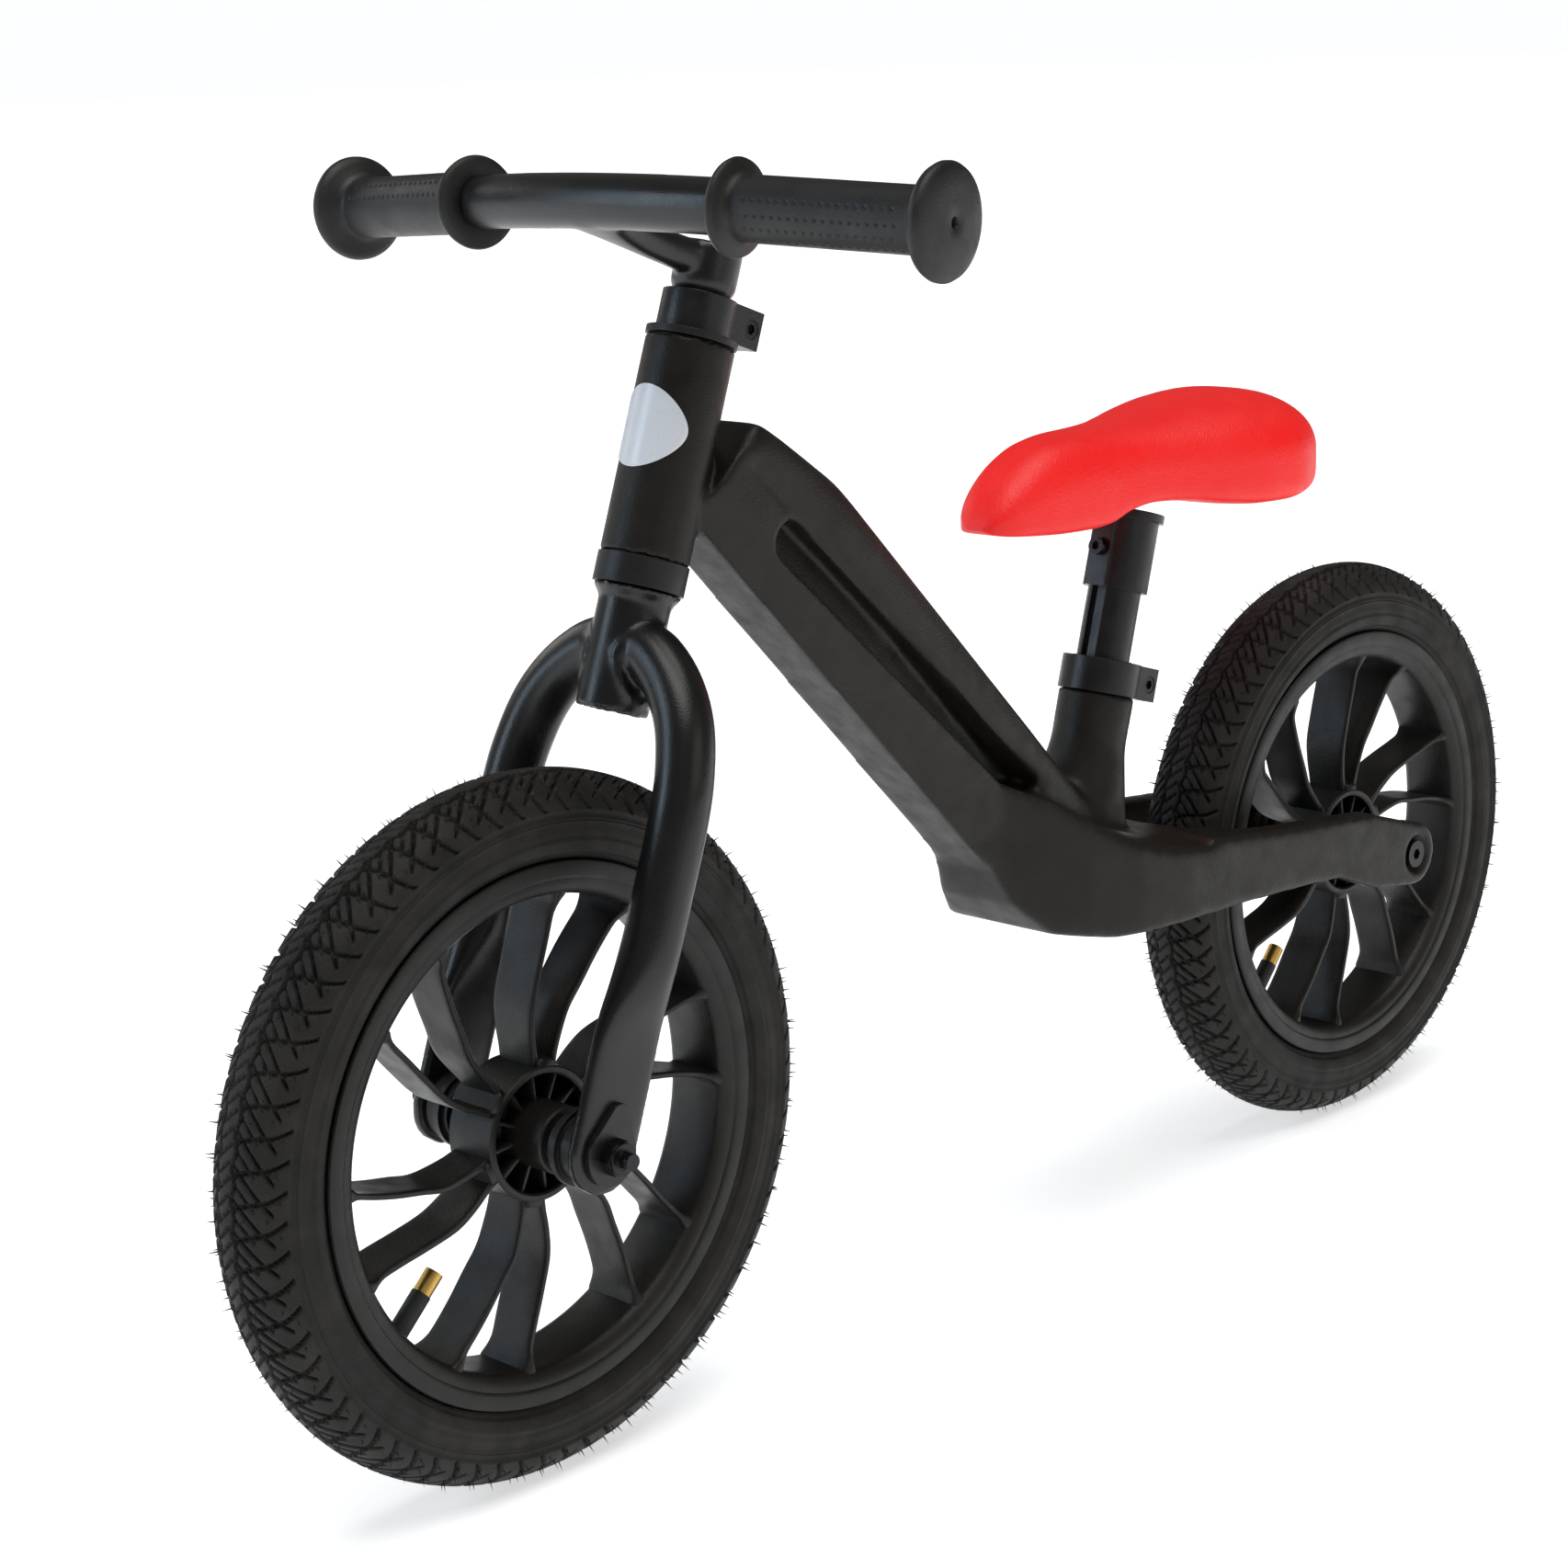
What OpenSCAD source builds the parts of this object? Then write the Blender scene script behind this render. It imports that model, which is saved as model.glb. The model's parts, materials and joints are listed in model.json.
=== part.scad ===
// Balance bike for small children: moulded frame, welded fork, height-adjustable
// bar and saddle, two 12 inch moulded wheels with pneumatic tyres.
// +X is the direction of travel, +Y the rider's left, +Z up. The origin lies on
// the ground, midway between the two axles.

/* [Overall] */
// Distance between the two axles
wheelbase = 568; // [520:1:640]
// Lean of the steering axis from the vertical, in degrees
head_angle = 20.3; // [16:0.1:24]
// Lean of the seat post from the vertical, in degrees
seat_angle = 17; // [12:0.5:22]

/* [Wheels] */
// Outer radius of the inflated tyre
tyre_r = 147; // [135:1:165]
// Radius of the tyre's round section
tyre_section_r = 22; // [18:0.5:25]
// Thickness of the tyre's wall
tyre_wall = 3.2; // [2:0.1:4]
// Half the width of the rim over its flanges
rim_half_w = 18.6; // [17:0.1:22]
// How far the rim's flange stands up beside the tyre's bead
rim_flange_h = 8; // [6:0.5:10]
// Thickness of the rim's flanges and band
rim_wall = 2.8; // [2:0.1:4]
// Number of spoke pairs
spoke_pairs = 6; // [4:1:8]
// Thickness of one spoke blade
spoke_t = 3.4; // [2.5:0.1:5]
// Width of a spoke blade, along the axle
spoke_w = 23; // [16:1:28]
// How far a spoke pair swirls round between hub and rim, in degrees
spoke_swirl = 10.5; // [0:0.5:14]
// Outer radius of the hub's ring
hub_ring_r = 28; // [25:0.5:34]
// Half the length of the hub's bearing barrel
hub_half_w = 26; // [22:1:28]
// Turn of the front wheel at rest, in degrees
front_turn = 40.2; // [0:0.1:60]
// Turn of the rear wheel at rest, in degrees
rear_turn = 37.3; // [0:0.1:60]

/* [Axles] */
// Diameter of both axles
axle_d = 8; // [6:0.5:10]
// Diameter of the wheel bearings
bearing_d = 22; // [19:0.5:24]
// Width of the wheel bearings
bearing_w = 7; // [6:0.5:9]
// Half the gap between the fork's dropout plates
fork_half_gap = 43.5; // [40:0.5:50]
// Half the gap between the frame's rear arms
rear_half_gap = 40; // [36:0.5:46]

/* [Fork] */
// Diameter of the fork's legs
leg_d = 24; // [20:0.5:28]
// Distance of each straight leg from the wheel's middle plane
leg_off = 50; // [48:0.5:60]
// Outside diameter of the steerer tube
steerer_d = 25.4; // [24.8:0.1:26]
// Wall of the steerer tube
steerer_wall = 1.5; // [1:0.1:1.6]
// Width of the dropout plate
dropout_w = 34; // [30:1:42]
// Thickness of the dropout plate
dropout_t = 7; // [5:0.5:9]

/* [Head] */
// Distance from the front tyre up the steering axis to the head tube
head_gap = 87; // [80:1:105]
// Length of the head tube
head_len = 90; // [80:1:110]
// Depth of the headset between steerer and the head tube's outside
head_wall = 5.8; // [5.4:0.1:8]
// Height of the steerer clamp
clamp_h = 16; // [12:0.5:20]
// Thickness of the steerer clamp's ring
clamp_wall = 2.8; // [2.4:0.1:5]

/* [Handlebar] */
// How far the bar lies ahead of the steering axis at its middle
bar_reach = 68; // [55:1:80]
// Height of the bar above the steerer clamp
bar_rise = 19; // [16:0.5:40]
// Diameter of the bar between the grips
bar_d = 22; // [20:0.5:24]
// Diameter of the bar under the grips
bar_end_d = 19; // [17:0.5:20]
// Distance from the middle to the start of each grip
grip_start = 72; // [64:1:90]
// Length of each grip with its flanges
grip_len = 100; // [90:1:120]
// Outside diameter of the grips
grip_d = 25.4; // [24:0.2:32]
// How far the bar's ends sweep back, in degrees
bar_sweep = 8; // [4:0.5:14]
// Length of the quill below the bar's stem
quill_len = 96; // [80:1:105]

/* [Frame] */
// Distance from the head tube's foot up to where the beam's underside points
beam_joint = 23.3; // [15:0.5:35]
// Depth of the main beam, square to its slope
beam_depth = 65; // [58:1:76]
// Width of the main beam
beam_w = 44; // [40:1:50]
// Depth of the pocket in each side of the beam
pocket_depth = 12; // [6:0.5:16]
// Thickness of each rear arm
arm_t = 15; // [11:0.5:20]
// Radius of the rear arm's end round the axle
arm_end_r = 16.5; // [15:0.5:20]
// Outside diameter of the seat tube
seat_tube_d = 36; // [34:0.5:40]

/* [Seat] */
// Diameter of the seat post
seat_post_d = 25.4; // [24:0.2:26]
// Wall of the sleeve under the saddle
sleeve_wall = 2.8; // [2.2:0.1:5]
// Length of the sleeve under the saddle
sleeve_len = 38; // [32:1:48]
// Post that shows between clamp and sleeve at rest
post_show = 33; // [24:1:60]
// Length of the saddle
saddle_len = 216; // [200:1:260]
// Width of the saddle at the back
saddle_w = 110; // [100:1:150]
// Height of the saddle at the back
saddle_h = 54; // [44:1:64]

/* [Fits] */
// Gap between parts that turn or slide on each other
run_gap = 0.3; // [0.2:0.05:0.4]
// Radial gap of a shaft in its bore
fit_gap = 0.05; // [0.02:0.01:0.1]

/* [Hidden] */
$fn = 64;
eps = 0.01;

// Steering axis: heights are measured along it from the front axle
front_x = wheelbase / 2;
rear_x = -wheelbase / 2;
race_h = 5;                                // crown race below the lower cup
head_low = tyre_r + head_gap;
head_d = steerer_d + 2 * head_wall;
crown_d = steerer_d + 4.6;
clamp_d = steerer_d + 2 * clamp_wall;
lower_cup_h = 12;                          // height of the lower cup's lip
crown_low = head_low - 63;                 // lower end of the crown tube
crown_high = head_low - lower_cup_h - run_gap;
head_high = head_low + head_len;
cover_h = 3;                               // thickness of the headset cover
clamp_low = head_high + run_gap + cover_h;
clamp_high = clamp_low + clamp_h;
steerer_r = steerer_d / 2;
steerer_in_r = steerer_r - steerer_wall;
quill_wall = 2;
quill_r = steerer_in_r - fit_gap;
cup_r = head_d / 2 - 1.8;                  // radius of the cups inside the head tube
headset_bearing_r = steerer_r + 2.6;       // outer radius of the headset's bearings
cup_depth = 12;                            // how far the cups reach into the head tube
stem_head_d = 27;
stem_low = clamp_high + run_gap;
bar_s = clamp_high + bar_rise;
gusset_w = 22;                             // width of the stem's gusset

// Bar: an arc between the grips, then straight swept ends
bar_arc_r = grip_start / sin(bar_sweep);

// Fork leg: slanted out of the crown, a bend, then straight down
leg_r = leg_d / 2;
leg_slant = 34;                            // slope of the leg where it leaves the crown
leg_bend_r = 50;
leg_bend_s = crown_low - 25;               // height where the bend ends
leg_foot_s = 44;                           // height where the leg turns to a plate
plate_mid = fork_half_gap + dropout_t / 2;

// Main beam: its underside runs from a foot ahead of the seat tube to a point
// on the steering axis
beam_foot_x = rear_x + tyre_r + 145;
beam_foot_z = tyre_r + 48;
beam_tip_x = front_x - (head_low + beam_joint) * sin(head_angle);
beam_tip_z = tyre_r + (head_low + beam_joint) * cos(head_angle);
beam_angle = atan2(beam_tip_z - beam_foot_z, beam_tip_x - beam_foot_x);
beam_len = norm([beam_tip_x - beam_foot_x, beam_tip_z - beam_foot_z]) - 7;
pocket_front = beam_len - 40;
pocket_back = 12;

// Seat axis: heights are measured along it from the level of the axles
seat_foot_x = rear_x + tyre_r + 82.5;
seat_tube_top = 118;
neck_h = 17;                               // slotted neck inside the seat clamp
seat_post_r = seat_post_d / 2;
post_bore_r = seat_post_r + fit_gap;
neck_r = seat_post_r + 2.1;
seat_clamp_d = 2 * neck_r + 8.4;
sleeve_d = seat_post_d + 2 * sleeve_wall;
post_low = 62;
bore_low = 26;                             // bottom of the bore for the seat post
sleeve_low = seat_tube_top + neck_h + post_show;
sleeve_high = sleeve_low + sleeve_len;
post_high = sleeve_high - 6;
ear_w = 25;                                // width of the clamps' ears
flange_h = 4;                              // sleeve's flange under the saddle
flange_r = sleeve_d / 2 + 2;
groove_w = 8;                              // groove along the front of the post
groove_depth = 3;
screw_d = 6;

// Wheel
rim_r = tyre_r - 35;                       // outside radius of the rim's flange
bead_r = rim_r - rim_flange_h;
rim_in_r = bead_r - rim_wall - 3;
tyre_mid_r = tyre_r - tyre_section_r;
tube_r = tyre_section_r - tyre_wall - 0.2;
hub_barrel_r = bearing_d / 2 + 3;
valve_pair = round(spoke_pairs * 2 / 3);   // spoke pair that the valve follows
valve_angle = (valve_pair + 0.61) * 360 / spoke_pairs;
valve_r = 4.2;
valve_tip = rim_r - 44;                    // distance of the valve's tip from the axle
brass_len = 13;
seal_w = 3;                                // dust seal beside each bearing

// Rear axle
arm_out = rear_half_gap + arm_t;
recess_r = 9.5;
recess_depth = 4;

// Front axle, from the dropout plates outwards
fork_out = fork_half_gap + dropout_t;
tab_t = 3;                                 // thickness of the tab washers
nut_h = 6.5;
nut_r = axle_d / 2 + 3.5;
axle_proud = 5;                            // axle left over beyond each nut

wheel_black = [0.11, 0.11, 0.11];
tyre_black = [0.09, 0.09, 0.09];
brass = [0.72, 0.55, 0.22];
steel = [0.65, 0.66, 0.68];

// ---------------------------------------------------------------- helpers
// Steering frame: +Z up the steering axis, +X ahead of it
module at_head() {
    translate([front_x, 0, tyre_r]) rotate([0, -head_angle, 0]) children();
}

// Seat frame: +Z up the seat post, +X to its front
module at_seat() {
    translate([seat_foot_x, 0, tyre_r]) rotate([0, -seat_angle, 0]) children();
}

// Beam frame: +X up along the beam's underside, +Z square out of its top
module at_beam() {
    translate([beam_foot_x, 0, beam_foot_z]) rotate([0, -beam_angle, 0]) children();
}

module at_axle(x) {
    translate([x, 0, tyre_r]) rotate([-90, 0, 0]) children();
}

// Both sides of the bike, the second one mirrored
module both_sides() {
    children();
    mirror([0, 1, 0]) children();
}

module ring(outer_r, inner_r, h) {
    difference() {
        cylinder(r = outer_r, h = h);
        translate([0, 0, -1]) cylinder(r = inner_r, h = h + 2);
    }
}

// ---------------------------------------------------------------- frame
// Section of the beam: narrow flat underside, chamfered up to the full width
module beam_section() {
    w = beam_w / 2;
    polygon([[-15, 0], [15, 0], [w - 1.5, 19], [w - 1.5, 35], [w, 37], [w, beam_depth - 12],
        [w - 3, beam_depth - 4], [w - 10, beam_depth], [10 - w, beam_depth],
        [3 - w, beam_depth - 4], [-w, beam_depth - 12], [-w, 37], [1.5 - w, 35], [1.5 - w, 19]]);
}

module beam() {
    at_beam() rotate([90, 0, 90]) translate([0, 0, -40])
        linear_extrude(beam_len + 40) beam_section();
}

// Pocket in the left side of the beam, round at its front end
module beam_pocket() {
    front_r = 9;
    at_beam() translate([0, beam_w / 2 - pocket_depth, 0]) rotate([-90, 0, 0])
        mirror([0, 1, 0]) linear_extrude(pocket_depth + 1) {
            polygon([[pocket_back + 2, 32], [pocket_back - 8, 47], [pocket_front - front_r, 35],
                [pocket_front - front_r, 17]]);
            translate([pocket_front - front_r, 26]) circle(r = front_r);
        }
}

// Side outline of the yoke and the rear arms, about the rear axle: the front
// part keeps its distance from the tyre
module yoke_side() {
    t = tyre_r;
    polygon([[t + 167, 103], [t + 167, 75], [t + 147, 51], [t + 137, 31], [t + 121, 15],
        [t + 92, 9], [t + 7, 7], [68, 2], [34, -11], [0, -arm_end_r], [0, arm_end_r],
        [39, 29], [t - 23, 39], [t + 42, 47], [t + 65, 52], [t + 90, 62], [t + 120, 79]]);
    circle(r = arm_end_r);
}

// Half of the yoke's outline seen from above, with the bay for the rear wheel
module yoke_plan() {
    t = tyre_r;
    w = beam_w / 2;
    bay_r = rear_half_gap;
    bay_x = t + 16 - bay_r;
    difference() {
        polygon([[t + 161, 0], [t + 161, w - 8], [t + 143, w - 2], [t + 127, w + 8],
            [t + 107, w + 20], [t + 79, arm_out - 4], [t + 47, arm_out],
            [-arm_end_r - 1, arm_out], [-arm_end_r - 1, 0]]);
        translate([-40, -1]) square([bay_x + 40, rear_half_gap + 1]);
        translate([bay_x, 0]) circle(r = bay_r);
    }
}

module yoke() {
    translate([rear_x, 0, tyre_r]) intersection() {
        translate([0, arm_out + 1, 0]) rotate([90, 0, 0])
            linear_extrude(2 * arm_out + 2) yoke_side();
        translate([0, 0, -50]) linear_extrude(200) {
            yoke_plan();
            mirror([0, 1]) yoke_plan();
        }
    }
}

// Seat tube with its flared foot and the slotted neck for the clamp
module seat_tube() {
    foot_s = 45;
    at_seat() {
        translate([0, 0, foot_s]) cylinder(d = seat_tube_d, h = seat_tube_top - foot_s);
        translate([0, 0, foot_s]) cylinder(r1 = seat_tube_d / 2 + 9, r2 = seat_tube_d / 2, h = 48);
        translate([0, 0, seat_tube_top - 1]) cylinder(r = neck_r, h = neck_h + 1);
    }
}

module frame() {
    color([0.13, 0.13, 0.13]) difference() {
        union() {
            at_head() translate([0, 0, head_low]) cylinder(d = head_d, h = head_len);
            difference() {
                beam();
                both_sides() beam_pocket();
                // The beam stops short of the space ahead of the head tube
                at_head() translate([0, -50, 100]) cube([100, 100, 300]);
                // Its top slopes down to meet the head tube
                at_beam() translate([beam_len - 58, -50, beam_depth]) rotate([0, 13, 0])
                    cube([200, 100, 60]);
                at_head() translate([-30, -50, head_low - 60]) cube([100, 100, 60]);
            }
            yoke();
            seat_tube();
        }
        at_head() {
            translate([0, 0, head_low - 5]) cylinder(r = cup_r - 1.5, h = head_len + 10);
            translate([0, 0, head_low - 1]) cylinder(r = cup_r, h = cup_depth + 1);
            translate([0, 0, head_high - cup_depth]) cylinder(r = cup_r, h = cup_depth + 1);
        }
        at_seat() {
            translate([0, 0, bore_low]) cylinder(r = post_bore_r, h = 160);
            // Slot that lets the neck close on the post
            translate([-neck_r - 2, -1, seat_tube_top + 1]) cube([neck_r + 1, 2, neck_h + 1]);
        }
        at_axle(rear_x) {
            translate([0, 0, -arm_out - 1]) cylinder(r = axle_d / 2 + fit_gap, h = 2 * arm_out + 2);
            for (side = [-1, 1]) translate([0, 0, side * (arm_out - recess_depth / 2 + 1)])
                cylinder(r = recess_r, h = recess_depth + 2, center = true);
        }
    }
}

// Plain oval plate on the front of the head tube
module head_badge() {
    badge_t = 0.5;
    color([0.92, 0.93, 0.95]) at_head() translate([0, 0, head_low + head_len * 0.57])
        intersection() {
            translate([0, 0, -25]) ring(head_d / 2 + badge_t, head_d / 2, 50);
            rotate([0, 90, 0]) cylinder(d = 34, h = 40);
        }
}

module cup(lip_h, lip_r) {
    difference() {
        union() {
            cylinder(r = cup_r - fit_gap, h = cup_depth - run_gap);
            translate([0, 0, -lip_h]) cylinder(r = lip_r, h = lip_h);
        }
        translate([0, 0, -lip_h - 1]) cylinder(r = headset_bearing_r, h = 60);
    }
}

module lower_cup() {
    color([0.12, 0.12, 0.12]) at_head() difference() {
        translate([0, 0, head_low]) cup(lower_cup_h, head_d / 2 + 0.4);
        translate([0, 0, head_low - lower_cup_h - 1]) cylinder(r = crown_d / 2 + run_gap, h = 2);
    }
}

module upper_cup() {
    color([0.12, 0.12, 0.12]) at_head() translate([0, 0, head_high]) mirror([0, 0, 1])
        difference() {
            cylinder(r = cup_r - fit_gap, h = cup_depth - run_gap);
            translate([0, 0, -1]) cylinder(r = headset_bearing_r, h = cup_depth + 2);
        }
}

// Ball bearings between the cups and the steerer
module headset_bearings() {
    color([0.7, 0.7, 0.72]) at_head()
        for (s = [head_low - lower_cup_h + 2, head_high - 7.5])
            translate([0, 0, s]) ring(headset_bearing_r - fit_gap, steerer_r + fit_gap, 7);
}

// Split collar with two ears towards the rear and a cross hole for its bolt
module split_collar(outer_d, inner_r, h, ear_x) {
    difference() {
        union() {
            cylinder(d = outer_d, h = h);
            translate([-ear_x, -ear_w / 2, 0]) cube([ear_x, ear_w, h]);
        }
        translate([0, 0, -1]) cylinder(r = inner_r, h = h + 2);
        translate([-ear_x - 1, -1, -1]) cube([ear_x + 1, 2, h + 2]);
        translate([5.5 - ear_x, 0, h / 2]) rotate([90, 0, 0]) {
            cylinder(r = 2.5 + fit_gap, h = ear_w + 2, center = true);
            for (side = [-1, 1]) translate([0, 0, side * ear_w / 2])
                cylinder(r = 4 + fit_gap, h = 8, center = true);
        }
    }
}

// Socket-head bolt sunk into the ears, with its nut
module collar_bolt(h, ear_x) {
    translate([5.5 - ear_x, 0, h / 2]) rotate([-90, 0, 0]) {
        translate([0, 0, 0.5 - ear_w / 2]) cylinder(r = 2.5, h = ear_w - 3);
        difference() {
            translate([0, 0, ear_w / 2 - 4]) cylinder(r = 4, h = 3.7);
            translate([0, 0, ear_w / 2 - 2.2]) cylinder(r = 2.3, h = 3, $fn = 6);
        }
        translate([0, 0, 0.9 - ear_w / 2]) cylinder(r = 3.9, h = 3.1, $fn = 6);
    }
}

module seat_clamp() {
    color([0.15, 0.15, 0.15]) at_seat() translate([0, 0, seat_tube_top + run_gap])
        split_collar(seat_clamp_d, neck_r + fit_gap, neck_h - 1, seat_clamp_d / 2 + 10);
}

module seat_clamp_bolt() {
    color([0.2, 0.2, 0.21]) at_seat() translate([0, 0, seat_tube_top + run_gap])
        collar_bolt(neck_h - 1, seat_clamp_d / 2 + 10);
}

// ---------------------------------------------------------------- rear axle
module rear_axle() {
    color([0.62, 0.63, 0.65]) at_axle(rear_x) difference() {
        cylinder(r = axle_d / 2, h = 2 * (arm_out - recess_depth - 1), center = true);
        for (side = [-1, 1]) translate([0, 0, side * (arm_out - 12)])
            cylinder(r = 2.5 + fit_gap, h = 16, center = true);
    }
}

// Socket-head bolts sunk into the ends of the rear arms
module rear_axle_bolts() {
    color([0.14, 0.14, 0.15]) both_sides() at_axle(rear_x)
        translate([0, 0, arm_out - recess_depth]) {
            difference() {
                cylinder(r = 7, h = 3.4);
                translate([0, 0, 1]) cylinder(r = 3, h = 3, $fn = 6);
            }
            translate([0, 0, -14]) cylinder(r = 2.5, h = 14);
        }
}

// Stepped sleeves on the axle, between the hub's seals and the frame or fork
module axle_spacer(half_gap) {
    start = hub_half_w + run_gap + 0.2;
    difference() {
        union() {
            translate([0, 0, start]) cylinder(r = 8, h = half_gap - start);
            translate([0, 0, start + 4]) cylinder(r = 14, h = half_gap - start - 4);
            translate([0, 0, start + 7]) cylinder(r = 16, h = 3);
        }
        cylinder(r = axle_d / 2 + fit_gap, h = 2 * half_gap);
    }
}

module rear_axle_spacers() {
    color([0.1, 0.1, 0.1]) both_sides() at_axle(rear_x) axle_spacer(rear_half_gap);
}

// ---------------------------------------------------------------- fork
// Left leg: slanted stub, bend and straight tube
module fork_leg() {
    bend_x = leg_off - leg_bend_r;
    start = [bend_x + leg_bend_r * sin(leg_slant), leg_bend_s + leg_bend_r * cos(leg_slant)];
    stub = (start[0] - 4) / cos(leg_slant);
    translate([0, start[0], start[1]]) rotate([90 - leg_slant, 0, 0])
        translate([0, 0, -3]) cylinder(r = leg_r - 0.3, h = stub + 3);
    translate([0, bend_x, leg_bend_s]) rotate([90, 0, 90])
        rotate_extrude(angle = 90 - leg_slant) translate([leg_bend_r, 0]) circle(r = leg_r);
    translate([0, leg_off, leg_foot_s]) cylinder(r = leg_r, h = leg_bend_s - leg_foot_s);
    translate([0, leg_off, leg_foot_s]) sphere(r = leg_r);
}

// Flattened end of the left leg, with a round end about the axle
module dropout() {
    translate([0, plate_mid + dropout_t / 2, 0]) rotate([90, 0, 0]) linear_extrude(dropout_t) {
        circle(d = dropout_w);
        polygon([[-dropout_w / 2, 0], [dropout_w / 2, 0], [dropout_w / 2, 34],
            [leg_r, leg_foot_s + 14], [-leg_r, leg_foot_s + 14], [-dropout_w / 2, 34]]);
    }
}

module fork() {
    color([0.12, 0.12, 0.13]) at_head() difference() {
        union() {
            translate([0, 0, crown_low]) cylinder(d = crown_d, h = crown_high - crown_low);
            translate([0, 0, crown_high - race_h])
                cylinder(r1 = crown_d / 2, r2 = head_d / 2, h = race_h);
            translate([0, 0, crown_high - 1]) cylinder(r = steerer_r, h = clamp_high - crown_high + 1);
            both_sides() difference() {
                fork_leg();
                // Only the leg's outer part stays below the crown
                translate([0, 0, crown_low - 1]) cylinder(r = crown_d / 2 - 3, h = 60);
            }
            both_sides() dropout();
        }
        translate([0, 0, crown_low - 1]) cylinder(r = crown_d / 2 - 2.5, h = 30);
        translate([0, 0, crown_low + 20]) cylinder(r = steerer_in_r, h = 300);
        // Slot that lets the steerer close on the quill
        translate([-steerer_r - 1, -1, clamp_low + 1]) cube([steerer_r, 2, clamp_h + 1]);
        rotate([90, 0, 0]) cylinder(r = axle_d / 2 + fit_gap, h = 200, center = true);
    }
}

module headset_cover() {
    color([0.13, 0.13, 0.13]) at_head() translate([0, 0, head_high + run_gap])
        ring(head_d / 2 + 0.5, steerer_r + fit_gap, cover_h - 0.1);
}

module steerer_clamp() {
    color([0.16, 0.16, 0.16]) at_head() translate([0, 0, clamp_low])
        split_collar(clamp_d, steerer_r + fit_gap, clamp_h - 0.2, clamp_d / 2 + 10);
}

module steerer_clamp_bolt() {
    color([0.2, 0.2, 0.21]) at_head() translate([0, 0, clamp_low])
        collar_bolt(clamp_h - 0.2, clamp_d / 2 + 10);
}

// ---------------------------------------------------------------- front axle
module front_axle() {
    color([0.62, 0.63, 0.65]) at_axle(front_x)
        union() {
            cylinder(r = axle_d / 2, h = 2 * (fork_out + tab_t + nut_h), center = true);
            // Ends turned down a little beyond the nuts
            cylinder(r = axle_d / 2 - 0.5, h = 2 * (fork_out + tab_t + nut_h + axle_proud),
                center = true);
        }
}

module front_axle_nuts() {
    color([0.22, 0.22, 0.23]) both_sides() at_axle(front_x) translate([0, 0, fork_out + tab_t])
        difference() {
            union() {
                cylinder(r = nut_r, h = nut_h - 1.5, $fn = 6);
                cylinder(r = nut_r - 1, h = nut_h);
            }
            translate([0, 0, -1]) cylinder(r = axle_d / 2 + fit_gap, h = nut_h + 2);
        }
}

// Teardrop washer that keeps each axle end in its dropout
module front_tab_washers() {
    tab_r = 12.5;
    tab_top = 21;
    color([0.15, 0.15, 0.15]) at_head() both_sides()
        translate([0, fork_out + tab_t, 0]) rotate([90, 0, 0]) linear_extrude(tab_t) difference() {
            union() {
                circle(r = tab_r);
                translate([0, tab_top - 5]) circle(r = 5);
                polygon([[-tab_r * 0.94, tab_r * 0.34], [-4.7, tab_top - 3.3],
                    [4.7, tab_top - 3.3], [tab_r * 0.94, tab_r * 0.34]]);
            }
            circle(r = axle_d / 2 + fit_gap);
        }
}

module front_axle_spacers() {
    color([0.1, 0.1, 0.1]) both_sides() at_axle(front_x) axle_spacer(fork_half_gap);
}

// ---------------------------------------------------------------- handlebar
// Frame of a straight bar end, +Z running outwards along it
module at_left_end() {
    translate([bar_reach - bar_arc_r + bar_arc_r * cos(bar_sweep), grip_start, bar_s])
        rotate([-90, 0, bar_sweep]) children();
}

module bar_arc(r) {
    translate([bar_reach - bar_arc_r, 0, bar_s]) rotate([0, 0, -bar_sweep])
        rotate_extrude(angle = 2 * bar_sweep, $fn = 720)
            translate([bar_arc_r, 0]) circle(r = r, $fn = 64);
}

module handlebar() {
    wall = 2;
    color([0.14, 0.14, 0.15]) at_head() difference() {
        union() {
            bar_arc(bar_d / 2);
            both_sides() at_left_end() {
                translate([0, 0, -6]) cylinder(r = bar_end_d / 2, h = grip_len - 2);
            }
            // Post on the clamp, chamfered at its foot
            translate([0, 0, stem_low]) cylinder(r1 = stem_head_d / 2 - 2, r2 = stem_head_d / 2, h = 3);
            translate([0, 0, stem_low + 3]) cylinder(d = stem_head_d, h = bar_rise - 1);
            // Gusset reaching ahead and up to the bar
            translate([0, gusset_w / 2, 0]) rotate([90, 0, 0]) linear_extrude(gusset_w)
                polygon([[0, stem_low + 8], [8, stem_low + 6], [bar_reach + 6, bar_s - bar_d / 2 + 1],
                    [bar_reach, bar_s], [0, bar_s + 2]]);
        }
        translate([0, 0, stem_low - 1]) cylinder(r = quill_r - quill_wall, h = 7);
        both_sides() at_left_end() translate([0, 0, 4]) cylinder(r = bar_end_d / 2 - wall, h = 200);
    }
}

// Tube below the stem that slides in the steerer and sets the bar's height
module stem_quill() {
    color([0.14, 0.14, 0.15]) at_head() difference() {
        translate([0, 0, clamp_high - quill_len])
            cylinder(r = quill_r, h = stem_low - clamp_high + quill_len);
        translate([0, 0, clamp_high - quill_len - 1])
            cylinder(r = quill_r - quill_wall, h = quill_len + 6);
    }
}

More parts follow.
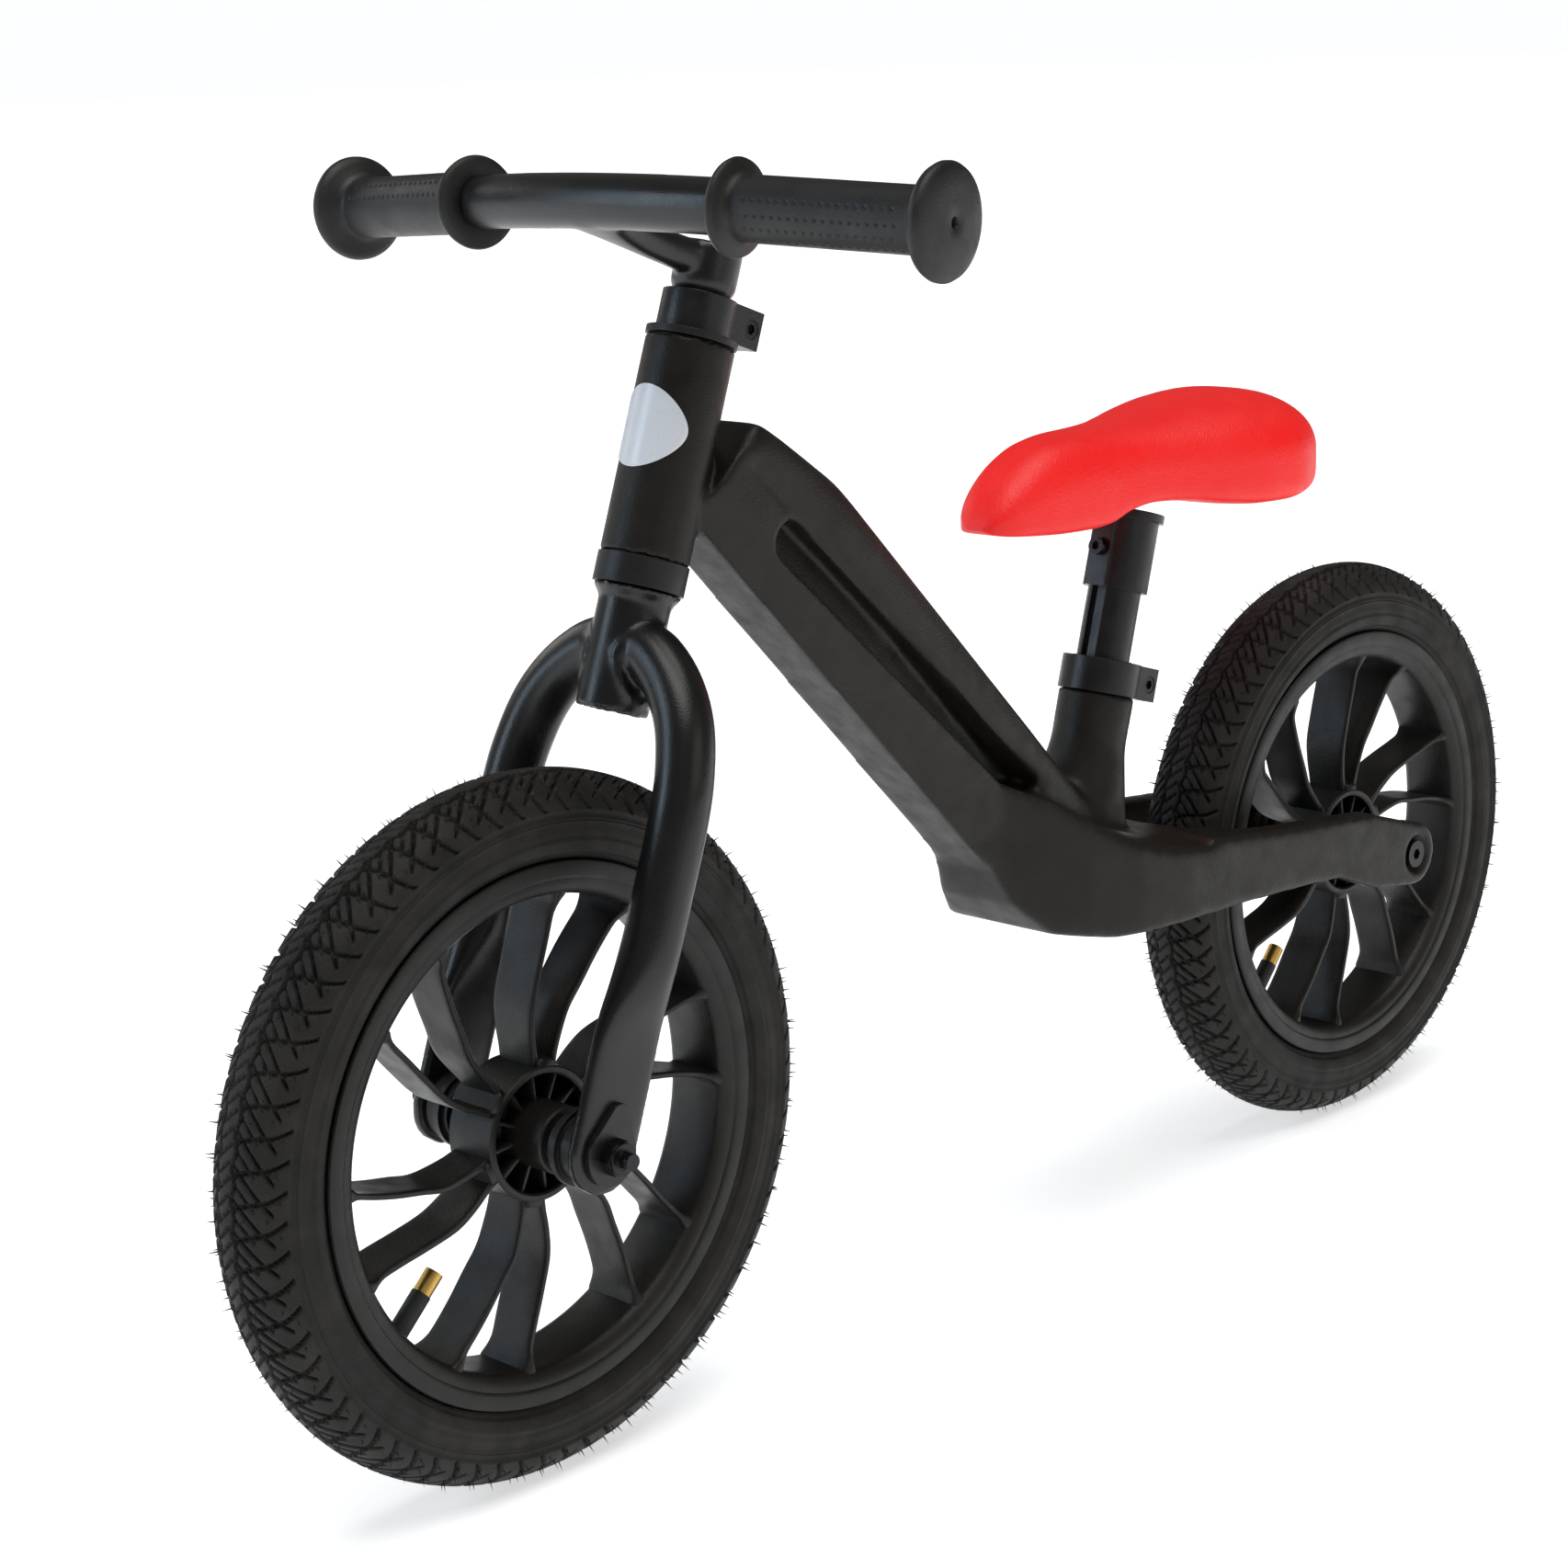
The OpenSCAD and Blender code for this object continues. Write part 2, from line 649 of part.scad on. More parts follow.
// Grip with a flange at each end and a small hole in its closed end
module grip() {
    in_r = bar_end_d / 2 + fit_gap;
    out_r = grip_d / 2;
    inner_flange = 19;
    end_flange = 22;
    end_h = 8;
    rotate_extrude() difference() {
        union() {
            translate([0, 0.1]) square([out_r, grip_len - 0.1]);
            polygon([[0, 0.1], [bar_d / 2 + 1, 0.1], [inner_flange - 1, 1], [inner_flange, 2.5],
                [inner_flange - 1, 4], [out_r + 1.5, 4.5], [out_r, 7], [0, 7]]);
            polygon([[0, grip_len - end_h - 4], [out_r, grip_len - end_h - 4],
                [out_r + 3, grip_len - end_h], [end_flange - 1, grip_len - end_h + 3],
                [end_flange, grip_len - end_h + 5], [end_flange - 2, grip_len - 1.5],
                [end_flange - 8, grip_len], [0, grip_len]]);
        }
        translate([-1, 0]) square([in_r + 1, grip_len - 7]);
        square([2, grip_len + 1]);
    }
}

module left_grip() {
    color([0.1, 0.1, 0.1]) at_head() at_left_end() grip();
}

module right_grip() {
    color([0.1, 0.1, 0.1]) at_head() mirror([0, 1, 0]) at_left_end() grip();
}

// ---------------------------------------------------------------- wheels
// Place of a wheel: axle along Z, turned to its resting angle
module at_wheel(x, turn) {
    at_axle(x) rotate([0, 0, -turn]) children();
}

// Angle of a spoke blade's middle line at radius r, for side -1 or 1 of its pair
function ease(t) = t <= 0 ? 0 : t >= 1 ? 1 : t * t * (3 - 2 * t);
function spoke_at(r, side, from, to) = asin((3.8 + 0.22 * (r - from)) * side / r)
    + spoke_swirl * ease((r - from - 16) / (to - from - 16))
    - 1.6 * sin(min(180, 180 * (r - from) / 34));

// Ribbon blade between hub ring and rim
module spoke(side) {
    from = hub_ring_r - 2.5;
    to = rim_in_r + 2;
    steps = 12;
    radii = [for (i = [0:steps]) from + (to - from) * i / steps];
    function edge(r, sign) = let (a = -spoke_at(r, side, from, to) + sign * asin(spoke_t / 2 / r))
        [r * cos(a), r * sin(a)];
    translate([0, 0, -spoke_w / 2]) linear_extrude(spoke_w)
        polygon(concat([for (r = radii) edge(r, 1)],
            [for (i = [steps:-1:0]) edge(radii[i], -1)]));
}

// Rim: a band with two upright flanges that hold the tyre's beads
module rim_section() {
    w = rim_half_w;
    polygon([[rim_in_r, -w + 4], [rim_in_r + 2, -w + 1], [rim_r - 6, -w + 1], [rim_r - 6, -w],
        [rim_r, -w], [rim_r, -w + rim_wall], [bead_r, -w + rim_wall], [bead_r, -8],
        [bead_r - 3, -6], [bead_r - 3, 6], [bead_r, 8], [bead_r, w - rim_wall],
        [rim_r, w - rim_wall], [rim_r, w], [rim_r - 6, w], [rim_r - 6, w - 1],
        [rim_in_r + 2, w - 1], [rim_in_r, w - 4]]);
}

module wheel() {
    ring_w = 13;
    difference() {
        union() {
            rotate_extrude($fn = 128) rim_section();
            for (i = [0:spoke_pairs - 1]) rotate([0, 0, -i * 360 / spoke_pairs]) {
                spoke(-1);
                spoke(1);
                // Anchor block where a pair leaves the hub's ring
                translate([hub_ring_r - 3, -5.5, -ring_w]) cube([5, 11, 2 * ring_w]);
                // Rib between barrel and ring
                translate([hub_barrel_r - 1, -1, -ring_w + 3])
                    cube([hub_ring_r - hub_barrel_r, 2, 2 * ring_w - 6]);
            }
            translate([0, 0, -ring_w]) ring(hub_ring_r, hub_ring_r - 3, 2 * ring_w);
            translate([0, 0, -2]) cylinder(r = hub_ring_r - 1, h = 4);
            translate([0, 0, -hub_half_w]) cylinder(r = hub_barrel_r, h = 2 * hub_half_w);
        }
        translate([0, 0, -hub_half_w - 1]) cylinder(r = axle_d / 2 + 2, h = 2 * hub_half_w + 2);
        for (side = [-1, 1]) translate([0, 0, side * (hub_half_w - (bearing_w + seal_w) / 2)])
            cylinder(r = bearing_d / 2, h = bearing_w + seal_w + eps, center = true);
        rotate([0, 0, -valve_angle]) rotate([0, 90, 0]) cylinder(r = valve_r + fit_gap, h = rim_r);
    }
}

// Tyre: a round casing, open at the rim, with its beads inside the flanges
module tyre() {
    bead_w = rim_half_w - rim_wall - 0.1;
    rotate_extrude($fn = 128) difference() {
        translate([tyre_mid_r, 0]) circle(r = tyre_section_r);
        translate([tyre_mid_r, 0]) circle(r = tyre_section_r - tyre_wall);
        translate([0, -50]) square([bead_r + 0.1, 100]);
        translate([0, -bead_w + 3.4]) square([tyre_mid_r, 2 * bead_w - 6.8]);
        translate([0, bead_w]) square([rim_r + 0.2, 30]);
        translate([0, -bead_w - 30]) square([rim_r + 0.2, 30]);
    }
}

// Inner tube with the rubber-covered stem of its valve
module inner_tube() {
    difference() {
        union() {
            rotate_extrude($fn = 128) difference() {
                translate([tyre_mid_r, 0]) circle(r = tube_r);
                translate([tyre_mid_r, 0]) circle(r = tube_r - 1.2);
            }
            rotate([0, 0, -valve_angle]) rotate([0, 90, 0])
                translate([0, 0, valve_tip + brass_len - 3])
                    cylinder(r = valve_r, h = tyre_mid_r - tube_r + 1 - valve_tip - brass_len + 3);
        }
        rotate([0, 0, -valve_angle]) rotate([0, 90, 0]) cylinder(r = 2.6 + fit_gap, h = tyre_mid_r);
    }
}

// Brass valve: a stem inside the rubber and a threaded tip
module valve() {
    rotate([0, 0, -valve_angle]) rotate([0, 90, 0]) {
        translate([0, 0, valve_tip]) cylinder(r = 3.85, h = brass_len - 3 - 0.1);
        translate([0, 0, valve_tip + 1]) cylinder(r = 2.6, h = tyre_mid_r - tube_r - valve_tip);
    }
}

module hub_bearings() {
    for (side = [-1, 1]) translate([0, 0, side * (hub_half_w - seal_w - bearing_w / 2)])
        translate([0, 0, -bearing_w / 2])
            ring(bearing_d / 2 - fit_gap, axle_d / 2 + fit_gap, bearing_w);
}

// Dust seals: a disc in the barrel's mouth, outside each bearing
module dust_seals() {
    for (side = [-1, 1]) translate([0, 0, side * (hub_half_w - seal_w / 2)])
        translate([0, 0, -seal_w / 2 + 0.1])
            ring(bearing_d / 2 - fit_gap, axle_d / 2 + run_gap, seal_w - 0.2);
}

module front_wheel() { color(wheel_black) at_wheel(front_x, front_turn) wheel(); }
module front_tyre() { color(tyre_black) at_wheel(front_x, front_turn) tyre(); }
module front_inner_tube() { color(tyre_black) at_wheel(front_x, front_turn) inner_tube(); }
module front_valve() { color(brass) at_wheel(front_x, front_turn) valve(); }
module front_hub_bearings() { color(steel) at_wheel(front_x, front_turn) hub_bearings(); }
module front_dust_seals() { color(wheel_black) at_wheel(front_x, front_turn) dust_seals(); }
module rear_wheel() { color(wheel_black) at_wheel(rear_x, rear_turn) wheel(); }
module rear_tyre() { color(tyre_black) at_wheel(rear_x, rear_turn) tyre(); }
module rear_inner_tube() { color(tyre_black) at_wheel(rear_x, rear_turn) inner_tube(); }
module rear_valve() { color(brass) at_wheel(rear_x, rear_turn) valve(); }
module rear_hub_bearings() { color(steel) at_wheel(rear_x, rear_turn) hub_bearings(); }
module rear_dust_seals() { color(wheel_black) at_wheel(rear_x, rear_turn) dust_seals(); }

// ---------------------------------------------------------------- seat
// Post with a groove down its front, which keeps the sleeve from turning
module seat_post() {
    color([0.17, 0.17, 0.18]) at_seat() difference() {
        translate([0, 0, post_low]) cylinder(r = seat_post_r, h = post_high - post_low);
        translate([0, 0, post_low - 1]) cylinder(r = seat_post_r - 6, h = post_high);
        translate([seat_post_r - groove_depth, -groove_w / 2, seat_tube_top + neck_h - 12])
            cube([groove_depth + 1, groove_w, post_high]);
    }
}

module saddle_sleeve() {
    boss_w = 12;
    color([0.14, 0.14, 0.14]) at_seat() difference() {
        union() {
            translate([0, 0, sleeve_low]) cylinder(d = sleeve_d, h = sleeve_len);
            translate([0, -boss_w / 2, sleeve_low]) cube([sleeve_d / 2 + 1.5, boss_w, sleeve_len]);
            translate([0, 0, sleeve_high - flange_h]) cylinder(r = flange_r, h = flange_h);
        }
        translate([0, 0, sleeve_low - 1]) cylinder(r = post_bore_r, h = sleeve_len - 3);
        translate([0, 0, sleeve_low + sleeve_len * 0.48]) rotate([0, 90, 0])
            cylinder(r = screw_d / 2 + fit_gap, h = 40);
    }
}

// Screw through the sleeve whose tip runs in the post's groove
module saddle_set_screw() {
    tip_x = seat_post_r - groove_depth + run_gap;
    head_x = sleeve_d / 2 + 1.5 + 0.1;
    color([0.2, 0.2, 0.21]) at_seat() translate([0, 0, sleeve_low + sleeve_len * 0.48])
        rotate([0, 90, 0]) difference() {
            union() {
                translate([0, 0, tip_x]) cylinder(r = screw_d / 2, h = head_x - tip_x + 1);
                translate([0, 0, head_x]) cylinder(r = 4.2, h = 3.4);
            }
            translate([0, 0, head_x + 1]) cylinder(r = 2.2, h = 4, $fn = 6);
        }
}

// Soft one-piece saddle: slim nose, low waist, broad raised back
module saddle() {
    base_z = tyre_r + (sleeve_high - 2) * cos(seat_angle);
    nose_x = seat_foot_x - sleeve_high * sin(seat_angle) + saddle_len * 0.52;
    back_x = nose_x - saddle_len;
    nose_r = 17;
    back_r = saddle_h * 0.42;
    color([0.86, 0.08, 0.09]) difference() {
        union() {
            hull($fn = 32) {
                translate([nose_x - nose_r, 0, base_z + 21]) sphere(r = nose_r);
                translate([nose_x - 40, 0, base_z + 25]) sphere(r = 20);
                translate([nose_x - saddle_len * 0.45, -9, base_z + 21]) sphere(r = 20);
                translate([nose_x - saddle_len * 0.45, 9, base_z + 21]) sphere(r = 20);
            }
            hull($fn = 32) both_sides() {
                translate([nose_x - saddle_len * 0.42, 8, base_z + 21]) sphere(r = 19);
                translate([back_x + back_r, saddle_w / 2 - back_r - 12, base_z + saddle_h - back_r - 2])
                    sphere(r = back_r);
                translate([back_x + back_r + 26, saddle_w / 2 - back_r, base_z + saddle_h - back_r - 8])
                    sphere(r = back_r);
            }
        }
        at_seat() translate([0, 0, sleeve_high - 60]) cylinder(r = flange_r + 0.2, h = 60.1);
    }
}

frame();
head_badge();
lower_cup();
upper_cup();
headset_bearings();
seat_clamp();
seat_clamp_bolt();
rear_axle();
rear_axle_bolts();
rear_axle_spacers();
fork();
headset_cover();
steerer_clamp();
steerer_clamp_bolt();
front_axle();
front_axle_nuts();
front_tab_washers();
front_axle_spacers();
handlebar();
stem_quill();
left_grip();
right_grip();
front_wheel();
front_tyre();
front_inner_tube();
front_valve();
front_hub_bearings();
front_dust_seals();
rear_wheel();
rear_tyre();
rear_inner_tube();
rear_valve();
rear_hub_bearings();
rear_dust_seals();
seat_post();
saddle_sleeve();
saddle_set_screw();
saddle();
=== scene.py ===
# Looks of a child's balance bike: +X is the direction of travel, +Y the rider's
# left, +Z up, all in metres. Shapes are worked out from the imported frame's boxes
# and joints, so each piece sits where its CAD node sits.
import json
import math

import bmesh
import bpy
import numpy as np
from mathutils import Matrix, Vector


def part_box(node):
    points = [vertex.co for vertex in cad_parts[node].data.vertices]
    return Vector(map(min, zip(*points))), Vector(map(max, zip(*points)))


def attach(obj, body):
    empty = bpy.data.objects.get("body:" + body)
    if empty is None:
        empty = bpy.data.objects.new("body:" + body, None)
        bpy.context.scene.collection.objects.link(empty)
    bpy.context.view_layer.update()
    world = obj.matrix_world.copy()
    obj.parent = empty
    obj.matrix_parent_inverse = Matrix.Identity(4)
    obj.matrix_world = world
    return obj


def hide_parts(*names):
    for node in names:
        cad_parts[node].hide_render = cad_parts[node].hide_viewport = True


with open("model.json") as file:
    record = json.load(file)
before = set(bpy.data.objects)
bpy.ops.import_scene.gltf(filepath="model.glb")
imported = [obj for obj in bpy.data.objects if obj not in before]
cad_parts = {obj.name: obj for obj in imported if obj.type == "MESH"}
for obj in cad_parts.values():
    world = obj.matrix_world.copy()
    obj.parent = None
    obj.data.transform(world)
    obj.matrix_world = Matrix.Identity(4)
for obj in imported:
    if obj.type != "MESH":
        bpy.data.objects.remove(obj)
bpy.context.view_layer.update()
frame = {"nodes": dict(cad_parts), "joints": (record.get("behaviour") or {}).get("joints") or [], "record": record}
nodes = frame["nodes"]
joints = {j["name"]: j for j in frame["joints"]}
MM = 0.001
TAU = 2 * math.pi

# ---------------------------------------------------------------- places
front_axle = np.array(joints["front_wheel_spin"]["pos_m"], float)
rear_axle = np.array(joints["rear_wheel_spin"]["pos_m"], float)
steer_dir = np.array(joints["steering"]["axis"], float)
LEFT = np.array([0.0, 1.0, 0.0])


def axes_matrix(origin, up):
    """Columns ahead, left and up, with the origin: a frame standing along up."""
    ahead = np.cross(LEFT, up)
    m = np.eye(4)
    m[:3, 0], m[:3, 1], m[:3, 2], m[:3, 3] = ahead, LEFT, up, origin
    return m


HEAD = axes_matrix(front_axle, steer_dir)

# ---------------------------------------------------------------- mesh tools
def place(points, m):
    """Points in millimetres of a local frame, as metres of the scene."""
    p = np.asarray(points, float)
    flat = p.reshape(-1, 3) * MM
    return (flat @ m[:3, :3].T + m[:3, 3]).reshape(p.shape)


def grid(points, close_u=False, cap=False):
    """Quads over a grid of rings of points; cap closes both end rings."""
    nu, nv = points.shape[:2]
    ids = np.arange(nu * nv).reshape(nu, nv)
    ur = np.arange(nu if close_u else nu - 1)
    vr = np.arange(nv)
    a = ids[ur][:, vr]
    b = ids[(ur + 1) % nu][:, vr]
    c = ids[(ur + 1) % nu][:, (vr + 1) % nv]
    d = ids[ur][:, (vr + 1) % nv]
    faces = np.stack([a, b, c, d], -1).reshape(-1, 4).tolist()
    if cap:
        faces.append(ids[0].tolist())
        faces.append(ids[-1][::-1].tolist())
    return points.reshape(-1, 3), faces


def joined(parts):
    """One vertex array and one face list out of several pieces."""
    verts, faces, start = [], [], 0
    for v, f in parts:
        verts.append(np.asarray(v, float).reshape(-1, 3))
        faces += [[i + start for i in face] for face in f]
        start += len(verts[-1])
    return np.concatenate(verts), faces


def turned(profile, count):
    """Surface of revolution about +Z from (radius, height) pairs."""
    p = np.asarray(profile, float)
    a = np.arange(count) / count * TAU
    pts = np.empty((len(p), count, 3))
    pts[..., 0] = p[:, :1] * np.cos(a)
    pts[..., 1] = p[:, :1] * np.sin(a)
    pts[..., 2] = p[:, 1:]
    return pts


def closed_turned(profile, count):
    """Surface of revolution whose profile is a closed loop."""
    return grid(turned(profile, count), close_u=True)


def placed_object(name, verts, faces, matrix):
    """A mesh object from points in millimetres of a local frame."""
    mesh = bpy.data.meshes.new(name)
    mesh.from_pydata(place(verts, matrix).tolist(), [], faces)
    mesh.validate()
    obj = bpy.data.objects.new(name, mesh)
    bpy.context.scene.collection.objects.link(obj)
    return obj


def piece(name, shape, body, slot, nodes_replaced, matrix, sharp=35):
    """A closed mesh that rides on a body and stands for the named CAD nodes."""
    obj = placed_object(name, *shape, matrix)
    obj.data.materials.append(finishes[slot])
    shade(obj, sharp)
    outward(obj)
    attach(obj, body)
    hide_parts(*nodes_replaced)
    return obj


def shade(obj, sharp):
    """Smooth shading, with edges above the given angle left sharp."""
    mesh = obj.data
    mesh.polygons.foreach_set("use_smooth", [True] * len(mesh.polygons))
    mesh.set_sharp_from_angle(angle=math.radians(sharp))


def outward(obj):
    """Turns every face of a closed mesh outwards."""
    bm = bmesh.new()
    bm.from_mesh(obj.data)
    bmesh.ops.recalc_face_normals(bm, faces=bm.faces)
    bm.to_mesh(obj.data)
    bm.free()


def apply_modifiers(obj):
    """Keeps what the object's modifiers make as its own mesh."""
    depsgraph = bpy.context.evaluated_depsgraph_get()
    mesh = bpy.data.meshes.new_from_object(obj.evaluated_get(depsgraph))
    obj.modifiers.clear()
    obj.data = mesh


def melt(obj, voxel, passes):
    """Voxel remesh, then smoothing: runs joined solids into one moulding.

    passes is a number, or a function that gives one for each point."""
    mod = obj.modifiers.new("melt", "REMESH")
    mod.mode = "VOXEL"
    mod.voxel_size = voxel
    apply_modifiers(obj)
    mesh = obj.data
    n = len(mesh.vertices)
    co = np.empty(n * 3)
    mesh.vertices.foreach_get("co", co)
    co = co.reshape(-1, 3)
    edges = np.empty(len(mesh.edges) * 2, int)
    mesh.edges.foreach_get("vertices", edges)
    a, b = edges.reshape(-1, 2).T
    degree = np.bincount(np.concatenate([a, b]), minlength=n)[:, None]
    wanted = passes(co) if callable(passes) else np.full(n, float(passes))
    for i in range(int(np.ceil(wanted.max()))):
        total = np.empty_like(co)
        for k in range(3):
            total[:, k] = np.bincount(a, co[b, k], n) + np.bincount(b, co[a, k], n)
        step = 0.5 * np.clip(wanted - i, 0, 1)[:, None]
        co += step * (total / degree - co)
    mesh.vertices.foreach_set("co", co.ravel())
    mesh.update()


def smoothstep(a, b, x):
    """Rises smoothly from 0 at a to 1 at b."""
    t = np.clip((np.asarray(x, float) - a) / (b - a), 0, 1)
    return t * t * (3 - 2 * t)


def bulged(wave, power):
    """A sine or cosine drawn towards a square wave, for sections with fuller corners."""
    return np.sign(wave) * np.abs(wave)**power


def mirrored(half):
    """A closed profile from its upper half, as (radius, height) pairs."""
    return half + [(r, -z) for r, z in half[::-1] if z]


def side_normals(line):
    """Unit normals to the left of a line of points in a plane."""
    tangent = np.gradient(line, axis=0)
    tangent /= np.linalg.norm(tangent, axis=1)[:, None]
    return np.stack([-tangent[:, 1], tangent[:, 0]], 1)


def spun(rings, angle):
    """Rings turned about +Z."""
    c, s = math.cos(angle), math.sin(angle)
    x, y = rings[..., 0], rings[..., 1]
    return np.stack([c * x - s * y, s * x + c * y, rings[..., 2]], -1)


def curve_through(points, count):
    """Points on a Catmull-Rom curve through the given ones, evenly spaced."""
    p = np.asarray(points, float)
    q = np.vstack([2 * p[0] - p[1], p, 2 * p[-1] - p[-2]])
    fine = []
    for i in range(1, len(q) - 2):
        for t in np.linspace(0, 1, 24, endpoint=False):
            a, b, c, d = q[i - 1:i + 3]
            fine.append(0.5 * (2 * b + (c - a) * t + (2 * a - 5 * b + 4 * c - d) * t**2
                               + (3 * b - a - 3 * c + d) * t**3))
    fine = np.array(fine + [p[-1]])
    run = np.concatenate([[0], np.cumsum(np.linalg.norm(np.diff(fine, axis=0), axis=1))])
    want = np.linspace(0, run[-1], count)
    return np.stack([np.interp(want, run, fine[:, k]) for k in range(p.shape[1])], -1)


# ---------------------------------------------------------------- materials
DUST_COLOUR = (0.32, 0.3, 0.27)
# Noise scale and detail of each effect
MOTTLE_NOISE, DUST_NOISE, GLOSS_NOISE = (26, 3), (60, 6), (90, 4)
# Sockets of a Mix node that is set to RGBA
MIX_FACTOR, MIX_A, MIX_B, MIX_RESULT = 0, 6, 7, 2


def material(name, colour, rough, metal=0.0, grain=0.0, grain_size=0.0006, mottle=0.12,
             rough_spread=0.08, dust=0.0, bevel=0.0, specular=0.5):
    """Principled shader with mottled colour, uneven gloss, fine grain and light dust."""
    m = bpy.data.materials.new(name)
    m.use_nodes = True
    nt = m.node_tree
    nt.nodes.clear()
    out = nt.nodes.new("ShaderNodeOutputMaterial")
    bsdf = nt.nodes.new("ShaderNodeBsdfPrincipled")
    nt.links.new(bsdf.outputs[0], out.inputs[0])
    bsdf.inputs["Metallic"].default_value = metal
    bsdf.inputs["Specular IOR Level"].default_value = specular
    coords = nt.nodes.new("ShaderNodeTexCoord")

    def noise(scale, detail):
        n = nt.nodes.new("ShaderNodeTexNoise")
        n.inputs["Scale"].default_value = scale
        n.inputs["Detail"].default_value = detail
        nt.links.new(coords.outputs["Object"], n.inputs["Vector"])
        return n.outputs["Fac"]

    def ramp(fac, low, high, from_low=0.3, from_high=0.7):
        r = nt.nodes.new("ShaderNodeMapRange")
        r.inputs["From Min"].default_value = from_low
        r.inputs["From Max"].default_value = from_high
        r.inputs["To Min"].default_value = low
        r.inputs["To Max"].default_value = high
        nt.links.new(fac, r.inputs["Value"])
        return r.outputs["Result"]

    def mix(fac, a, b):
        x = nt.nodes.new("ShaderNodeMix")
        x.data_type = "RGBA"
        nt.links.new(fac, x.inputs[MIX_FACTOR])
        for socket, value in ((x.inputs[MIX_A], a), (x.inputs[MIX_B], b)):
            if isinstance(value, tuple):
                socket.default_value = (*value, 1)
            else:
                nt.links.new(value, socket)
        return x.outputs[MIX_RESULT]

    dark = tuple(c * (1 - mottle) for c in colour)
    light = tuple(min(1, c * (1 + mottle)) for c in colour)
    tint = mix(ramp(noise(*MOTTLE_NOISE), 0, 1), dark, light)
    if dust:
        pale = tuple(0.5 * c + 0.5 * g for c, g in zip(colour, DUST_COLOUR))
        tint = mix(ramp(noise(*DUST_NOISE), 0, dust, 0.45, 0.8), tint, pale)
    nt.links.new(tint, bsdf.inputs["Base Color"])
    nt.links.new(ramp(noise(*GLOSS_NOISE), rough - rough_spread, rough + rough_spread),
                 bsdf.inputs["Roughness"])
    normal = None
    if bevel:
        edge = nt.nodes.new("ShaderNodeBevel")
        edge.samples = 4
        edge.inputs["Radius"].default_value = bevel
        normal = edge.outputs[0]
    if grain:
        bump = nt.nodes.new("ShaderNodeBump")
        bump.inputs["Strength"].default_value = grain
        bump.inputs["Distance"].default_value = grain_size
        nt.links.new(noise(1 / grain_size, 2), bump.inputs["Height"])
        if normal is not None:
            nt.links.new(normal, bump.inputs["Normal"])
        normal = bump.outputs[0]
    if normal is not None:
        nt.links.new(normal, bsdf.inputs["Normal"])
    return m


# Finish of each slot that the record names
LOOKS = {
    "frame_moulding": dict(colour=(0.0088, 0.0075, 0.0058), rough=0.42, grain=0.3,
                           grain_size=0.0008, dust=0.02, specular=0.24, mottle=0.14),
    "wheel_moulding": dict(colour=(0.0085, 0.0078, 0.0068), rough=0.4, grain=0.3,
                           grain_size=0.0006, dust=0.03, specular=0.3, mottle=0.14),
    "fork_paint": dict(colour=(0.0055, 0.0055, 0.0055), rough=0.3, grain=0.15,
                       grain_size=0.0007, mottle=0.06, rough_spread=0.03, specular=0.42),
    "bar_paint": dict(colour=(0.006, 0.0062, 0.0065), rough=0.3, grain=0.15,
                      grain_size=0.0007, mottle=0.06, rough_spread=0.03, specular=0.45),
    "black_alloy": dict(colour=(0.0065, 0.0068, 0.0075), rough=0.34, grain=0.15,
                        grain_size=0.0008, bevel=0.0006, specular=0.4),
    "black_parts": dict(colour=(0.007, 0.007, 0.0075), rough=0.42, grain=0.2,
                        grain_size=0.0006, bevel=0.0005, specular=0.35),
    "black_bolts": dict(colour=(0.03, 0.03, 0.032), rough=0.3, metal=0.9, grain=0.2,
                        grain_size=0.0005, bevel=0.0004),
    "bare_steel": dict(colour=(0.5, 0.51, 0.53), rough=0.3, metal=1.0, grain=0.2,
                       grain_size=0.0004, bevel=0.0003),
    "grip_rubber": dict(colour=(0.008, 0.008, 0.008), rough=0.46, grain=0.35,
                        grain_size=0.0005, specular=0.4),
    "tyre_rubber": dict(colour=(0.0095, 0.0086, 0.0076), rough=0.6, grain=0.5,
                        grain_size=0.0006, dust=0.08, mottle=0.25, specular=0.26),
    "tube_rubber": dict(colour=(0.006, 0.006, 0.006), rough=0.6, grain=0.3),
    "valve_brass": dict(colour=(0.6, 0.38, 0.1), rough=0.3, metal=1.0, grain=0.3,
                        grain_size=0.0004, bevel=0.0003),
    "saddle_skin": dict(colour=(1.0, 0.008, 0.007), rough=0.46, grain=0.3,
                        grain_size=0.0011, mottle=0.03, specular=0.5),
    "badge_plate": dict(colour=(0.62, 0.65, 0.7), rough=0.3, grain=0.05, mottle=0.04)}
finishes = {name: material(name, **look) for name, look in LOOKS.items()}
for entry in frame["record"]["subparts"]:
    obj = nodes[entry["node"]]
    obj.data.materials.clear()
    obj.data.materials.append(finishes[entry["material_slot"]])


# ---------------------------------------------------------------- tyres
def wheel_matrix(axle, turn):
    """Wheel frame: +Z along the axle to the left, turned to the wheel's rest."""
    c, s = math.cos(math.radians(turn)), math.sin(math.radians(turn))
    m = np.eye(4)
    m[:3, 0] = (c, 0, s)
    m[:3, 1] = (s, 0, -c)
    m[:3, 2] = (0, 1, 0)
    m[:3, 3] = axle
    return m


